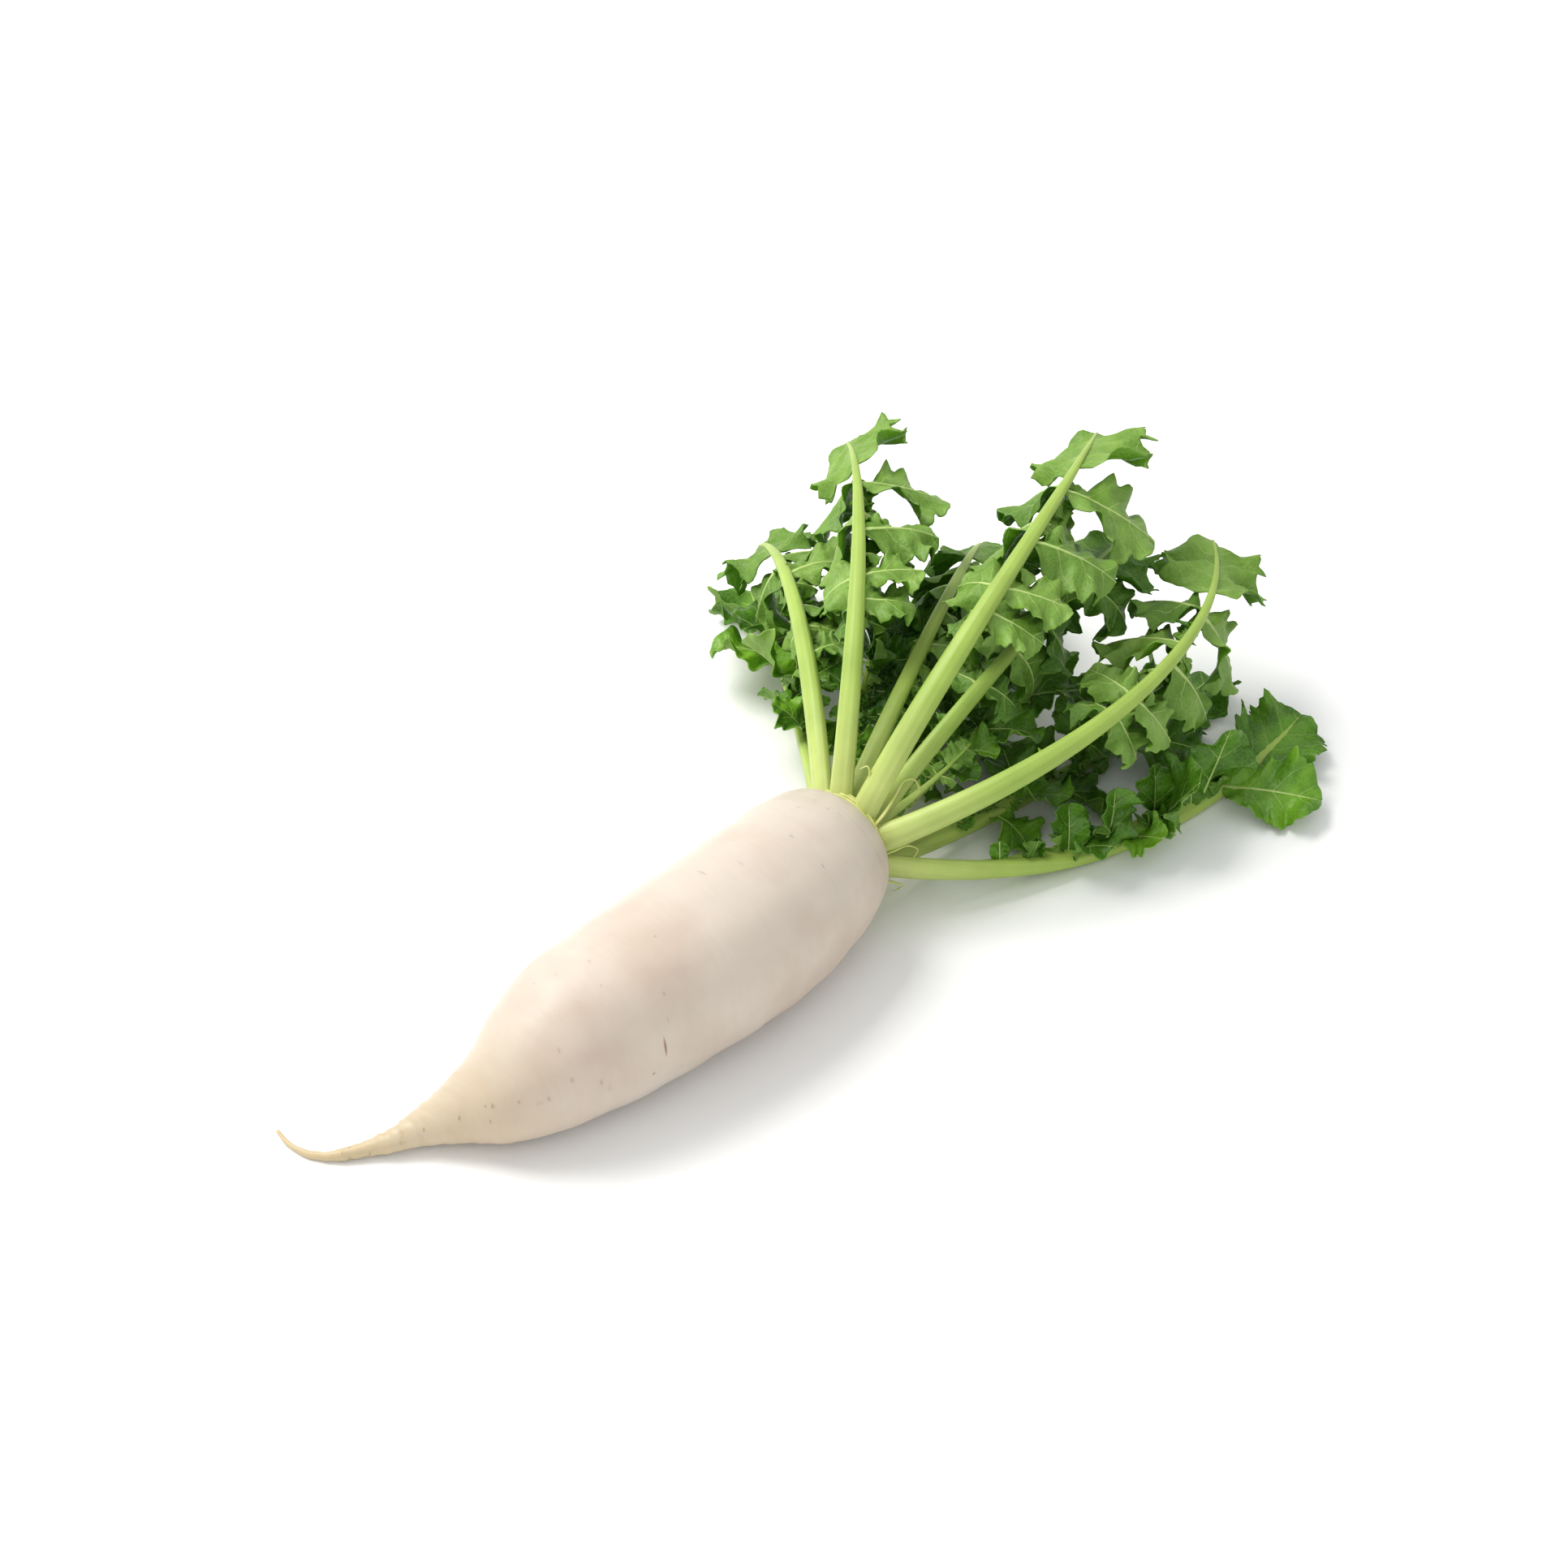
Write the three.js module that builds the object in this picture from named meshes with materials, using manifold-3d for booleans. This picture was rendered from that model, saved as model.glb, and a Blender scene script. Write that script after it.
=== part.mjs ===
// A daikon radish as picked, lying on its side: a thick white root that tapers to a thin tail,
// a low crown on its shoulder, and a fan of lobed leaves on long fleshy stalks.
// Millimetres, +Z up. The origin is on the small flat that the root rests on, under its thickest
// part. +X runs along the root from the tail towards the leaves, and +Y is to the left of that.
import * as THREE from "three";
import { mergeVertices } from "three/addons/utils/BufferGeometryUtils.js";
import Module from "manifold-3d";

const wasm = await Module();
wasm.setup();

const TURN = 2 * Math.PI;
const UP = new THREE.Vector3(0, 0, 1);
const GAP = 0.3; // between pieces that touch
const REACH = 500; // farther than any piece

// Root: a thick round body whose middle line runs from the tip of the tail to the shoulder.
const ROOT_RADIUS = 36;
const ROOT_HEIGHT = 35.4; // height of the middle at the thickest part, less than the radius
const ROOT_SIDES = 24;
const ROOT_STEPS = 30;
const ROOT_UNEVEN = 0.012; // how far it is from round, as a share
const SHOULDER_RADIUS = 18; // the root's blunt end, which the crown sits on
const SHOULDER = new THREE.Vector3(86.5, 11.5, 31.5);
const ROOT_LINE = [
  // x, y and z of the middle line, and the half thickness there
  [-160, 70.5, 1, 0.7],
  [-161, 58.5, 1.2, 0.9],
  [-156, 46.5, 2, 1.6],
  [-141, 35.5, 4.4, 3.6],
  [-126, 28, 8.4, 7],
  [-112, 20, 14.8, 13.2],
  [-100, 13.3, 22.2, 20.8],
  [-86, 8.5, 28.8, 27.4],
  [-70, 5, 32.4, 31.2],
  [-42, 1.5, 34.6, 33.8],
  [0, 0, ROOT_HEIGHT, ROOT_RADIUS],
  [30, 1.5, 35.4, 35.6],
  [54, 5, 35, 33.8],
  [69, 8.5, 33.8, 31],
  [80, 10.5, 32.6, 26],
  [...SHOULDER.toArray(), SHOULDER_RADIUS],
];

// Crown: the short stem that the leaves grow from.
const CROWN_BASE = new THREE.Vector3(GAP, 0, 0).add(SHOULDER);
const CROWN_RADIUS = 20;
const CROWN_HEIGHT = 12;
const CROWN_SIDES = 24;

// Leaves. Every stalk starts inside the crown, so that cutting it clear of the crown fits its foot.
const OUTER_RING = 16.5; // distance of the outer stalks from the crown's axis
const INNER_RING = 7;
const STALK_START = 3; // how far over the crown's base a stalk's line starts
const STALK_SIDES = 8;
const STALK_STEPS = 7;
const STALK_TAPER = 0.9; // share of its width that a stalk has lost at the tip of its leaf
const STALK_DEPTH = 0.78; // its depth, in its own widths
const FOOT_FLARE = 0.1; // how much broader and flatter a stalk is at its foot
const FOOT_LENGTH = 14;
const CHANNEL = 0.32; // depth of the groove along a stalk's upper side, as a share
const TWISTED = 0.55; // share of a leaf over which it twists from facing the crown's axis to its roll
const ROLL_SWAY = 24; // how far a blade rocks about its rib, degrees
const ROLL_WAVES = 1.3;
const WALK_STEPS = 48;

// Each leaf: where it sits round the crown (degrees from +Y towards +Z), the way it heads and how
// much it turns, its climb and how much it sags, all in degrees; its length and the share of it
// that is bare stalk; the stalk's width, and the power of the share with which it thins; its pairs
// of side lobes and the longest lobe's length; how far the lobes rise from the blade's plane and how
// far they bend to the ground from there; the roll of that plane, 0 with the upper side up; and the
// seed of its irregularities. The last one is a young leaf.
const LEAVES = [
  { name: "a", ring: OUTER_RING, seat: 203, heading: -35, turn: 42, climb: -18, sag: -28, length: 226,
    bare: 0.34, width: 12, taper: 3, pairs: 4, lobe: 34, cup: 72, droop: 8, roll: 20, seed: 17 },
  { name: "b", ring: OUTER_RING, seat: 158, heading: -42, turn: 88, climb: 25, sag: 36, length: 250,
    bare: 0.42, width: 11.5, taper: 1.1, pairs: 5, lobe: 40, cup: 38, droop: 50, roll: -150, seed: 5 },
  { name: "c", ring: INNER_RING, seat: 155, heading: -5, turn: 25, climb: 40, sag: 58, length: 204,
    bare: 0.36, width: 8.5, taper: 1.3, pairs: 4, lobe: 40, cup: 35, droop: 50, roll: -165, seed: 237 },
  { name: "d", ring: INNER_RING, seat: 55, heading: 16, turn: 20, climb: 36, sag: 72, length: 216,
    bare: 0.32, width: 8.5, taper: 1.6, pairs: 5, lobe: 38, cup: 38, droop: 50, roll: 165, seed: 277 },
  { name: "e", ring: OUTER_RING, seat: 25, heading: 50, turn: 6, climb: 34, sag: 74, length: 210,
    bare: 0.32, width: 10, taper: 1.6, pairs: 5, lobe: 38, cup: 38, droop: 50, roll: 140, seed: 76 },
  { name: "f", ring: OUTER_RING, seat: 250, heading: -8, turn: 10, climb: -8, sag: -8, length: 216,
    bare: 0.28, width: 10, taper: 1.8, pairs: 5, lobe: 38, cup: 30, droop: 45, roll: 0, seed: 31 },
  { name: "g", ring: OUTER_RING, seat: 296, heading: 20, turn: 12, climb: -4, sag: 0, length: 210,
    bare: 0.28, width: 10, taper: 1.8, pairs: 5, lobe: 38, cup: 28, droop: 45, roll: 8, seed: 31 },
  { name: "h", ring: OUTER_RING, seat: 340, heading: 50, turn: 8, climb: 0, sag: 16, length: 200,
    bare: 0.28, width: 10, taper: 1.6, pairs: 5, lobe: 36, cup: 30, droop: 45, roll: 20, seed: 60 },
  { name: "j", ring: OUTER_RING, seat: 114, heading: -4, turn: 36, climb: 54, sag: 76, length: 238,
    bare: 0.38, width: 10.5, taper: 1.6, pairs: 5, lobe: 44, cup: 34, droop: 50, roll: 176, seed: 5 },
  { name: "k", ring: OUTER_RING, seat: 70, heading: 36, turn: 14, climb: 54, sag: 84, length: 218,
    bare: 0.36, width: 9.5, taper: 1.4, pairs: 5, lobe: 40, cup: 38, droop: 50, roll: 160, seed: 5 },
  { name: "l", ring: INNER_RING, seat: 250, heading: 2, turn: 12, climb: 10, sag: 14, length: 150,
    bare: 0.3, width: 7.5, taper: 1.5, pairs: 4, lobe: 28, cup: 38, droop: 40, roll: 14, seed: 204 },
  { name: "m", ring: INNER_RING, seat: 328, heading: 34, turn: 6, climb: 19, sag: 24, length: 136,
    bare: 0.3, width: 7.5, taper: 1.5, pairs: 4, lobe: 28, cup: 38, droop: 40, roll: 40, seed: 52 },
  { name: "n", ring: 3, seat: 180, heading: -16, turn: 24, climb: 18, sag: 10, length: 66,
    bare: 0.3, width: 4, taper: 1.5, pairs: 2, lobe: 9, cup: 25, droop: 40, roll: 200, seed: 59 },
];

// Blades. Each is cut to its rib into lobes. A side lobe is a toothed sheet on a vein of its own,
// which leaves the rib at a slant, rises and bends down. The end lobe has the rib for its vein.
const BLADE_THICKNESS = 0.8;
const CLEARANCE = 0.25; // between the ground and what lies on it
const RIB_SIDES = 6;
const RIB_STEPS = 5;
const SIDE_ROWS = 5;
const END_ROWS = 7;
const SIDE_COLUMNS = [-1, 0, 1];
const END_COLUMNS = [-1, 0, 1];
const END_SHARE = 0.32; // the end lobe's share of the blade
const LOBE_GROWTH = 1.16; // each pair takes this much more of the rib than the one before
const FIRST_LOBE = 0.34; // the lobes grow along the blade from this share of the longest one
const LOBE_VARIES = 0.2;
const STATION_VARIES = 0.25;
const SLANT_FOOT = 76; // the angle between lobes and rib at the foot of the blade, degrees
const SLANT_TIP = 50;
const SLANT_VARIES = 10;
const RISE_VARIES = 28;
const DROOP_VARIES = 28;
const TWIST_VARIES = 28;
const TWIST_AT_FOOT = 0.3; // a lobe's twist grows from this share of it
const VEIN_LIFT = 0.1; // height of a lobe's foot over the stalk's line, in the stalk's widths
const HALF_WIDTH = 0.4; // of a side lobe, in its own lengths
const WIDTH_VARIES = 0.15;
const NECK = 1.1; // half width of a lobe's foot, and how much of its length is added to that
const NECK_GROWTH = 0.02;
const END_NECK = 2;
const NECK_TAPER = 0.5;
const END_HALF_WIDTH = 0.56; // in the longest side lobe's lengths
const FOLD = 16; // how far the two halves of a lobe fold up from its vein, degrees
const FOLD_VARIES = 14;
const WAVE = 0.3; // height of the margin's waves, in a lobe's half widths
const MARGIN_WAVES = 1.5;
const WAVE_SPREAD = 1.6; // the higher, the more the waves keep to the margin
const WAVE_PHASES = 3; // how far the waves of two lobes may be out of step, in waves
const HALVES_APART = 0.37; // and those of a lobe's two halves
const TOOTH_DEPTH = 0.2; // as a share of the swelling
const TOOTH_PEAK = 0.72; // where a tooth is highest
const TOOTH_LEAN = 0.16; // how far a lobe's margin is carried forwards, in its half widths
const SIDE_LOBE = { teeth: 4.5, fullness: 1.2, bluntness: 0.62 };
const END_LOBE = { teeth: 6.5, fullness: 0.95, bluntness: 0.55 };
const END_CUTS = 1.9; // shallow cuts into the end lobe
const END_CUT_DEPTH = 0.16;
const LEVEL_DROOP = 0.7; // share of a lobe's droop that is lost where its leaf stands on edge

const COLOURS = {
  root: 0xf0e8dc,
  crown: 0xc3cc8a,
  stalk: 0xa9c272,
  upper: 0x4f8c35,
  under: 0x7da964,
};

// A repeatable draw from 0 to 1: the fraction left of a large sine.
function draw(seed, index) {
  const wave = Math.sin(seed * 12.9898 + index * 78.233) * 43758.5453;
  return wave - Math.floor(wave);
}

const between = (low, high, share) => low + (high - low) * share;
const radians = (degrees) => (degrees * Math.PI) / 180;

// The closed solid of a geometry, with its shared vertices merged.
function solidOf(geometry) {
  const bare = geometry.clone();
  bare.deleteAttribute("normal");
  bare.deleteAttribute("uv");
  const merged = mergeVertices(bare, 1e-4);
  return new wasm.Manifold(
    new wasm.Mesh({
      numProp: 3,
      vertProperties: new Float32Array(merged.attributes.position.array),
      triVerts: new Uint32Array(merged.index.array),
    }),
  );
}

// The largest body of a solid: a scrap that a cut leaves loose is dropped.
function largestOf(solid) {
  return solid.decompose().reduce((best, body) => (body.volume() > best.volume() ? body : best));
}

function geometryOf(solid) {
  const mesh = solid.getMesh();
  return new THREE.BufferGeometry()
    .setAttribute("position", new THREE.BufferAttribute(mesh.vertProperties, 3))
    .setIndex(new THREE.BufferAttribute(mesh.triVerts, 1));
}

// A closed cylinder of radius 1 with every vertex moved: place gets the share along it, the angle
// round it and 1 on its side or 0 in the middle of an end.
function movedCylinder(sides, steps, place) {
  const geometry = new THREE.CylinderGeometry(1, 1, 1, sides, steps);
  const position = geometry.attributes.position;
  for (let i = 0; i < position.count; i++) {
    const x = position.getX(i);
    const z = position.getZ(i);
    const out = Math.hypot(x, z) < 0.5 ? 0 : 1;
    const point = place(position.getY(i) + 0.5, Math.atan2(x, z), out);
    position.setXYZ(i, point.x, point.y, point.z);
  }
  return geometry;
}

// A grid of points given thickness along its normals: the same triangles on both faces, joined
// round the rim.
function thickSheet(grid) {
  const [rows, columns] = [grid.length, grid[0].length];
  const plane = new THREE.PlaneGeometry(1, 1, columns - 1, rows - 1);
  const count = rows * columns;
  const vertices = new Float32Array(count * 6);
  grid.forEach((line, i) =>
    line.forEach((point, j) => {
      const ahead = new THREE.Vector3().subVectors(
        grid[Math.min(i + 1, rows - 1)][j],
        grid[Math.max(i - 1, 0)][j],
      );
      const across = new THREE.Vector3().subVectors(
        line[Math.min(j + 1, columns - 1)],
        line[Math.max(j - 1, 0)],
      );
      const half = ahead.cross(across).normalize().multiplyScalar(BLADE_THICKNESS / 2);
      const at = i * columns + j;
      point.clone().add(half).toArray(vertices, at * 3);
      point.clone().sub(half).toArray(vertices, (count + at) * 3);
    }),
  );
  const triangles = [];
  const face = plane.index.array;
  for (let i = 0; i < face.length; i += 3) {
    const [a, b, c] = [face[i], face[i + 1], face[i + 2]];
    triangles.push(a, b, c, count + a, count + c, count + b);
  }
  const rim = rimOf(columns, rows);
  rim.forEach((from, i) => {
    const to = rim[(i + 1) % rim.length];
    triangles.push(from, count + from, to, to, count + from, count + to);
  });
  return new THREE.BufferGeometry()
    .setAttribute("position", new THREE.BufferAttribute(vertices, 3))
    .setIndex(triangles);
}

// The border vertices of a grid of columns by rows, in order round it.
function rimOf(columns, rows) {
  const rim = [];
  for (let i = 0; i < rows - 1; i++) rim.push(i * columns);
  for (let i = 0; i < columns - 1; i++) rim.push((rows - 1) * columns + i);
  for (let i = rows - 1; i > 0; i--) rim.push(i * columns + columns - 1);
  for (let i = columns - 1; i > 0; i--) rim.push(i);
  return rim;
}

// The root: a cylinder carried along its line, with a flat cut where it rests.
function rootSolid() {
  const through = (pick) => new THREE.CatmullRomCurve3(ROOT_LINE.map(pick), false, "catmullrom", 0.5);
  const line = through(([x, y, z]) => new THREE.Vector3(x, y, z));
  const thickness = through(([, , , radius]) => new THREE.Vector3(radius, 0, 0));
  const geometry = movedCylinder(ROOT_SIDES, ROOT_STEPS, (along, angle, out) => {
    const here = line.getPoint(along);
    const tangent = line.getTangent(along).setZ(0).normalize();
    const side = new THREE.Vector3().crossVectors(UP, tangent);
    const uneven = ROOT_UNEVEN * (Math.sin(2 * angle + here.x / 31) + 0.7 * Math.sin(3 * angle - here.x / 17));
    const radius = thickness.getPoint(along).x * (1 + uneven) * out;
    return here
      .addScaledVector(side, radius * Math.sin(angle))
      .addScaledVector(UP, -radius * Math.cos(angle));
  });
  const ground = block(-REACH, REACH, -REACH, 0);
  const beyondShoulder = block(SHOULDER.x, REACH, -REACH, REACH);
  return solidOf(geometry).subtract(ground).subtract(beyondShoulder);
}

// A block for cutting, wide enough to cut right through, between two places along X and two heights.
function block(fromX, toX, fromZ, toZ) {
  const box = new THREE.BoxGeometry(toX - fromX, 2 * REACH, toZ - fromZ);
  return solidOf(box.translate((fromX + toX) / 2, 0, (fromZ + toZ) / 2));
}

// The crown, a low dome with ridges left by older leaves, grown outwards by the given amount.
function crownSolid(grown) {
  const profile = [
    [0, 0],
    [0.9, 0],
    [1, 0.16],
    [0.96, 0.34],
    [0.84, 0.42],
    [0.82, 0.58],
    [0.62, 0.7],
    [0.58, 0.82],
    [0.34, 0.94],
    [0, 1],
  ].map(([out, height]) => {
    const lowered = height === 0 ? -grown : height * CROWN_HEIGHT + grown;
    return new THREE.Vector2(out * CROWN_RADIUS + (out ? grown : 0), lowered);
  });
  const geometry = new THREE.LatheGeometry(profile, CROWN_SIDES)
    .rotateZ(-Math.PI / 2)
    .translate(...CROWN_BASE.toArray());
  return solidOf(geometry);
}

// The line of a leaf, walked in equal steps: it turns sideways and sags as it goes, and lies along
// the ground where it would sink into it. Gives the place and the three directions at any share.
function leafLine(leaf) {
  const seat = radians(leaf.seat);
  const point = CROWN_BASE.clone().add(
    new THREE.Vector3(STALK_START, leaf.ring * Math.cos(seat), leaf.ring * Math.sin(seat)),
  );
  const points = [point.clone()];
  const step = leaf.length / WALK_STEPS;
  for (let i = 0; i < WALK_STEPS; i++) {
    const share = (i + 0.5) / WALK_STEPS;
    point.addScaledVector(directionAt(leaf, share), step);
    point.z = Math.max(point.z, (stalkWidth(leaf, share) * STALK_DEPTH) / 2 + CLEARANCE);
    points.push(point.clone());
  }
  const curve = new THREE.CatmullRomCurve3(points, false, "catmullrom", 0.5);
  return (share) => {
    const along = curve.getTangent(share);
    const level = new THREE.Vector3().crossVectors(UP, along).normalize();
    const over = new THREE.Vector3().crossVectors(along, level);
    const facing = leaf.seat + 90;
    const twisted = THREE.MathUtils.smoothstep(share, 0, TWISTED);
    const leafy = THREE.MathUtils.smoothstep(share, leaf.bare, 1);
    const sway = ROLL_SWAY * leafy * Math.sin(TURN * (ROLL_WAVES * share + draw(leaf.seed, 500)));
    const roll = radians(between(facing, nearest(leaf.roll, facing), twisted) + sway);
    return {
      point: curve.getPoint(share),
      along,
      side: level.clone().multiplyScalar(Math.cos(roll)).addScaledVector(over, Math.sin(roll)),
      over: over.clone().multiplyScalar(Math.cos(roll)).addScaledVector(level, -Math.sin(roll)),
    };
  };
}

// The angle that means the same as the given one, within half a turn of another.
const nearest = (angle, other) => angle - 360 * Math.round((angle - other) / 360);

function directionAt(leaf, share) {
  const heading = radians(leaf.heading + leaf.turn * share);
  const climb = radians(leaf.climb - leaf.sag * share);
  return new THREE.Vector3(
    Math.cos(climb) * Math.cos(heading),
    Math.cos(climb) * Math.sin(heading),
    Math.sin(climb),
  );
}

// A stretch of a leaf's stalk: an oval that is grooved above, broader at its foot, and tapers. It
// goes on through the blade as the rib.
function stalkSolid(leaf, line, from, to, sides, steps) {
  const geometry = movedCylinder(sides, steps, (along, angle, out) => {
    const share = between(from, to, along);
    const { point, side, over } = line(share);
    const foot = FOOT_FLARE * Math.exp((-share * leaf.length) / FOOT_LENGTH);
    const width = stalkWidth(leaf, share) * (1 + foot);
    const height = stalkWidth(leaf, share) * STALK_DEPTH * (1 - foot);
    const rise = -Math.cos(angle);
    const grooved = rise > 0 ? rise * (1 - CHANNEL * rise ** 3) : rise;
    return point
      .clone()
      .addScaledVector(side, (out * Math.sin(angle) * width) / 2)
      .addScaledVector(over, (out * grooved * height) / 2);
  });
  return solidOf(geometry);
}

const stalkWidth = (leaf, share) => leaf.width * (1 - STALK_TAPER * share ** leaf.taper);

// A tooth of a margin: it rises slowly and falls off fast, so that it points forwards.
function tooth(place) {
  const part = place - Math.floor(place);
  return part < TOOTH_PEAK ? part / TOOTH_PEAK : (1 - part) / (1 - TOOTH_PEAK);
}

// A lobe's own irregularity, from -1 to 1: which pair and hand it is, and which quality is drawn.
function varied(leaf, pair, hand, quality) {
  return 2 * draw(leaf.seed, 20 * pair + (hand > 0 ? 0 : 10) + quality) - 1;
}

// Half width of a lobe at a place along it: a narrow neck, and a swelling that is cut into teeth.
function lobeHalf(place, neck, wide, phase, { teeth, fullness, bluntness }) {
  const swell = Math.max(0, Math.sin(Math.PI * place ** fullness)) ** bluntness;
  const toothed = 1 + TOOTH_DEPTH * (tooth(teeth * place + 0.5 * phase) - 0.5);
  return neck * (1 - NECK_TAPER * place) + wide * swell * toothed;
}

// One lobe as a thick sheet. at(place) gives its vein's point, the directions ahead, across and
// over, the half width, and the fold between its halves; its margin waves.
function lobeSolid(rows, columns, body, phase, at) {
  const grid = Array.from({ length: rows }, (_, i) => {
    const place = i / (rows - 1);
    const { point, ahead, over, half, fold } = at(place);
    const across = new THREE.Vector3().crossVectors(over, ahead);
    return columns.map((column) => {
      const away = Math.abs(column);
      const turn = MARGIN_WAVES * place + WAVE_PHASES * phase + (column < 0 ? 0 : HALVES_APART);
      const fade = away ** WAVE_SPREAD * Math.sqrt(Math.max(0, Math.sin(Math.PI * place)));
      const wave = WAVE * body * fade * Math.sin(TURN * turn);
      const moved = point
        .clone()
        .addScaledVector(across, column * half * Math.cos(fold))
        .addScaledVector(over, away * half * Math.sin(fold) + wave)
        .addScaledVector(ahead, TOOTH_LEAN * half * away * away);
      const lowest = CLEARANCE + BLADE_THICKNESS;
      const above = moved.z - lowest;
      return moved.setZ(lowest + (above + Math.sqrt(above * above + 1)) / 2);
    });
  });
  return solidOf(thickSheet(grid));
}

function sideLobe(leaf, line, pair, hand) {
  const own = (quality) => varied(leaf, pair, hand, quality);
  const growth = (count) => (LOBE_GROWTH ** count - 1) / (LOBE_GROWTH ** leaf.pairs - 1);
  const place = 0.5 + STATION_VARIES * own(0);
  const station = (1 - END_SHARE) * between(growth(pair), growth(pair + 1), place);
  const share = between(leaf.bare, 1, station);
  const stalk = stalkWidth(leaf, share);
  const { point, along, side, over } = line(share);
  const grown = between(FIRST_LOBE, 1, (pair + 1) / leaf.pairs) * (1 + LOBE_VARIES * own(1));
  const length = leaf.lobe * grown + stalk / 2;
  const slant = radians(between(SLANT_FOOT, SLANT_TIP, station) + SLANT_VARIES * own(3));
  const out = side.clone().multiplyScalar(hand * Math.sin(slant)).addScaledVector(along, Math.cos(slant));
  const rise = radians(leaf.cup + RISE_VARIES * own(4));
  const droop = radians(leaf.droop + DROOP_VARIES * own(6)) * (1 - LEVEL_DROOP * (1 - Math.abs(over.z)));
  const bend = over.z >= 0 ? droop : -droop;
  const foot = point.clone().addScaledVector(over, VEIN_LIFT * stalk);
  const wide = HALF_WIDTH * length * (1 + WIDTH_VARIES * own(2));
  return lobeSolid(SIDE_ROWS, SIDE_COLUMNS, wide, own(9), (t) => {
    const slope = rise - bend * t;
    const ahead = out.clone().multiplyScalar(Math.cos(slope)).addScaledVector(over, Math.sin(slope));
    const level = over.clone().multiplyScalar(Math.cos(slope)).addScaledVector(out, -Math.sin(slope));
    const twist = radians(TWIST_VARIES * own(5) * (TWIST_AT_FOOT + t));
    return {
      point: foot
        .clone()
        .addScaledVector(out, (length * (Math.sin(rise) - Math.sin(slope))) / bend)
        .addScaledVector(over, (length * (Math.cos(slope) - Math.cos(rise))) / bend),
      ahead,
      over: level.applyAxisAngle(ahead, twist),
      half: lobeHalf(t, NECK + NECK_GROWTH * length, wide, own(7), SIDE_LOBE),
      fold: radians(FOLD + FOLD_VARIES * own(8)),
    };
  });
}

function endLobe(leaf, line) {
  const full = END_HALF_WIDTH * leaf.lobe;
  return lobeSolid(END_ROWS, END_COLUMNS, full, draw(leaf.seed, 402), (t) => {
    const share = between(leaf.bare, 1, between(1 - END_SHARE, 1, t));
    const { point, along, over } = line(share);
    const wide = full * (1 + END_CUT_DEPTH * Math.sin(TURN * END_CUTS * t + leaf.seed));
    return {
      point: point.clone().addScaledVector(over, VEIN_LIFT * stalkWidth(leaf, share)),
      ahead: along,
      over,
      half: lobeHalf(t, END_NECK, wide, draw(leaf.seed, 401), END_LOBE),
      fold: radians(FOLD),
    };
  });
}

function bladeSolid(leaf, line) {
  const foot = leaf.bare + GAP / leaf.length;
  const rib = stalkSolid(leaf, line, foot, 1, RIB_SIDES, RIB_STEPS);
  let blade = rib.add(endLobe(leaf, line));
  for (let pair = 0; pair < leaf.pairs; pair++) {
    for (const hand of [-1, 1]) blade = blade.add(sideLobe(leaf, line, pair, hand));
  }
  return blade;
}

function finish(colour, roughness) {
  return new THREE.MeshStandardMaterial({ color: colour, roughness, metalness: 0 });
}

function addPiece(group, name, solid, material) {
  const mesh = new THREE.Mesh(geometryOf(largestOf(solid)), material);
  mesh.name = name;
  group.add(mesh);
}

const radish = new THREE.Group();
const clearOfCrown = crownSolid(GAP).add(block(-REACH, CROWN_BASE.x, -REACH, REACH));
addPiece(radish, "root", rootSolid(), finish(COLOURS.root, 0.45));
addPiece(radish, "crown", crownSolid(0), finish(COLOURS.crown, 0.6));

for (const leaf of LEAVES) {
  const line = leafLine(leaf);
  const stalk = stalkSolid(leaf, line, 0, leaf.bare, STALK_SIDES, STALK_STEPS).subtract(clearOfCrown);
  const shows = Math.abs(leaf.roll) > 90 ? COLOURS.under : COLOURS.upper;
  addPiece(radish, `stalk_${leaf.name}`, stalk, finish(COLOURS.stalk, 0.5));
  addPiece(radish, `blade_${leaf.name}`, bladeSolid(leaf, line), finish(shows, 0.6));
}

export default radish;
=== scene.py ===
# %% [markdown]
# # A daikon radish, as picked
# A thick white root lies on its side. It tapers to a thin curled tail, and from the low green crown
# on its shoulder grows a fan of lobed leaves on fleshy, grooved stalks.
#
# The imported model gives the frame: where every piece is and how large. Here each of its plain solids
# is replaced by a finer surface on the same lines, worked out with numpy as whole arrays.
# All lengths below are millimetres until a mesh is made, because a vegetable is measured that way.

# %% Load the frame
from collections import namedtuple

import bpy
import numpy as np
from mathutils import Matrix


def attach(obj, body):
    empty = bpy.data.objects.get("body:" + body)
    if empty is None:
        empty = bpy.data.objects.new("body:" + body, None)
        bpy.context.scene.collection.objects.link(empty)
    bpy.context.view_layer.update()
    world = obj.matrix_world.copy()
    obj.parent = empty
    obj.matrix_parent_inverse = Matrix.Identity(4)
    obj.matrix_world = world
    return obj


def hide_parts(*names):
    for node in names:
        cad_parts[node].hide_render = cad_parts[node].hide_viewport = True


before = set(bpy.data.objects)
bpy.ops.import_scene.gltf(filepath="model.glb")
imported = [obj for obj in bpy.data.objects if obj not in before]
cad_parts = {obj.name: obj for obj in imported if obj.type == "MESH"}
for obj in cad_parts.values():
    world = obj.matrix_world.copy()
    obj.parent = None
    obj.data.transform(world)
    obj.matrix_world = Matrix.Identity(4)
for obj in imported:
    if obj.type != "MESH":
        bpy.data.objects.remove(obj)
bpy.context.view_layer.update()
MM = 0.001
print("nodes in the frame:", len(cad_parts))

# %% [markdown]
# ## Small tools for shapes
# Nothing here is random from one run to the next. A repeatable draw is the fraction that is left of a
# large sine, and a soft unevenness is a sum of plane waves that run in scattered directions.

# %% Draws and soft unevenness
TURN = 2 * np.pi
UP = np.array([0.0, 0.0, 1.0])
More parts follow.
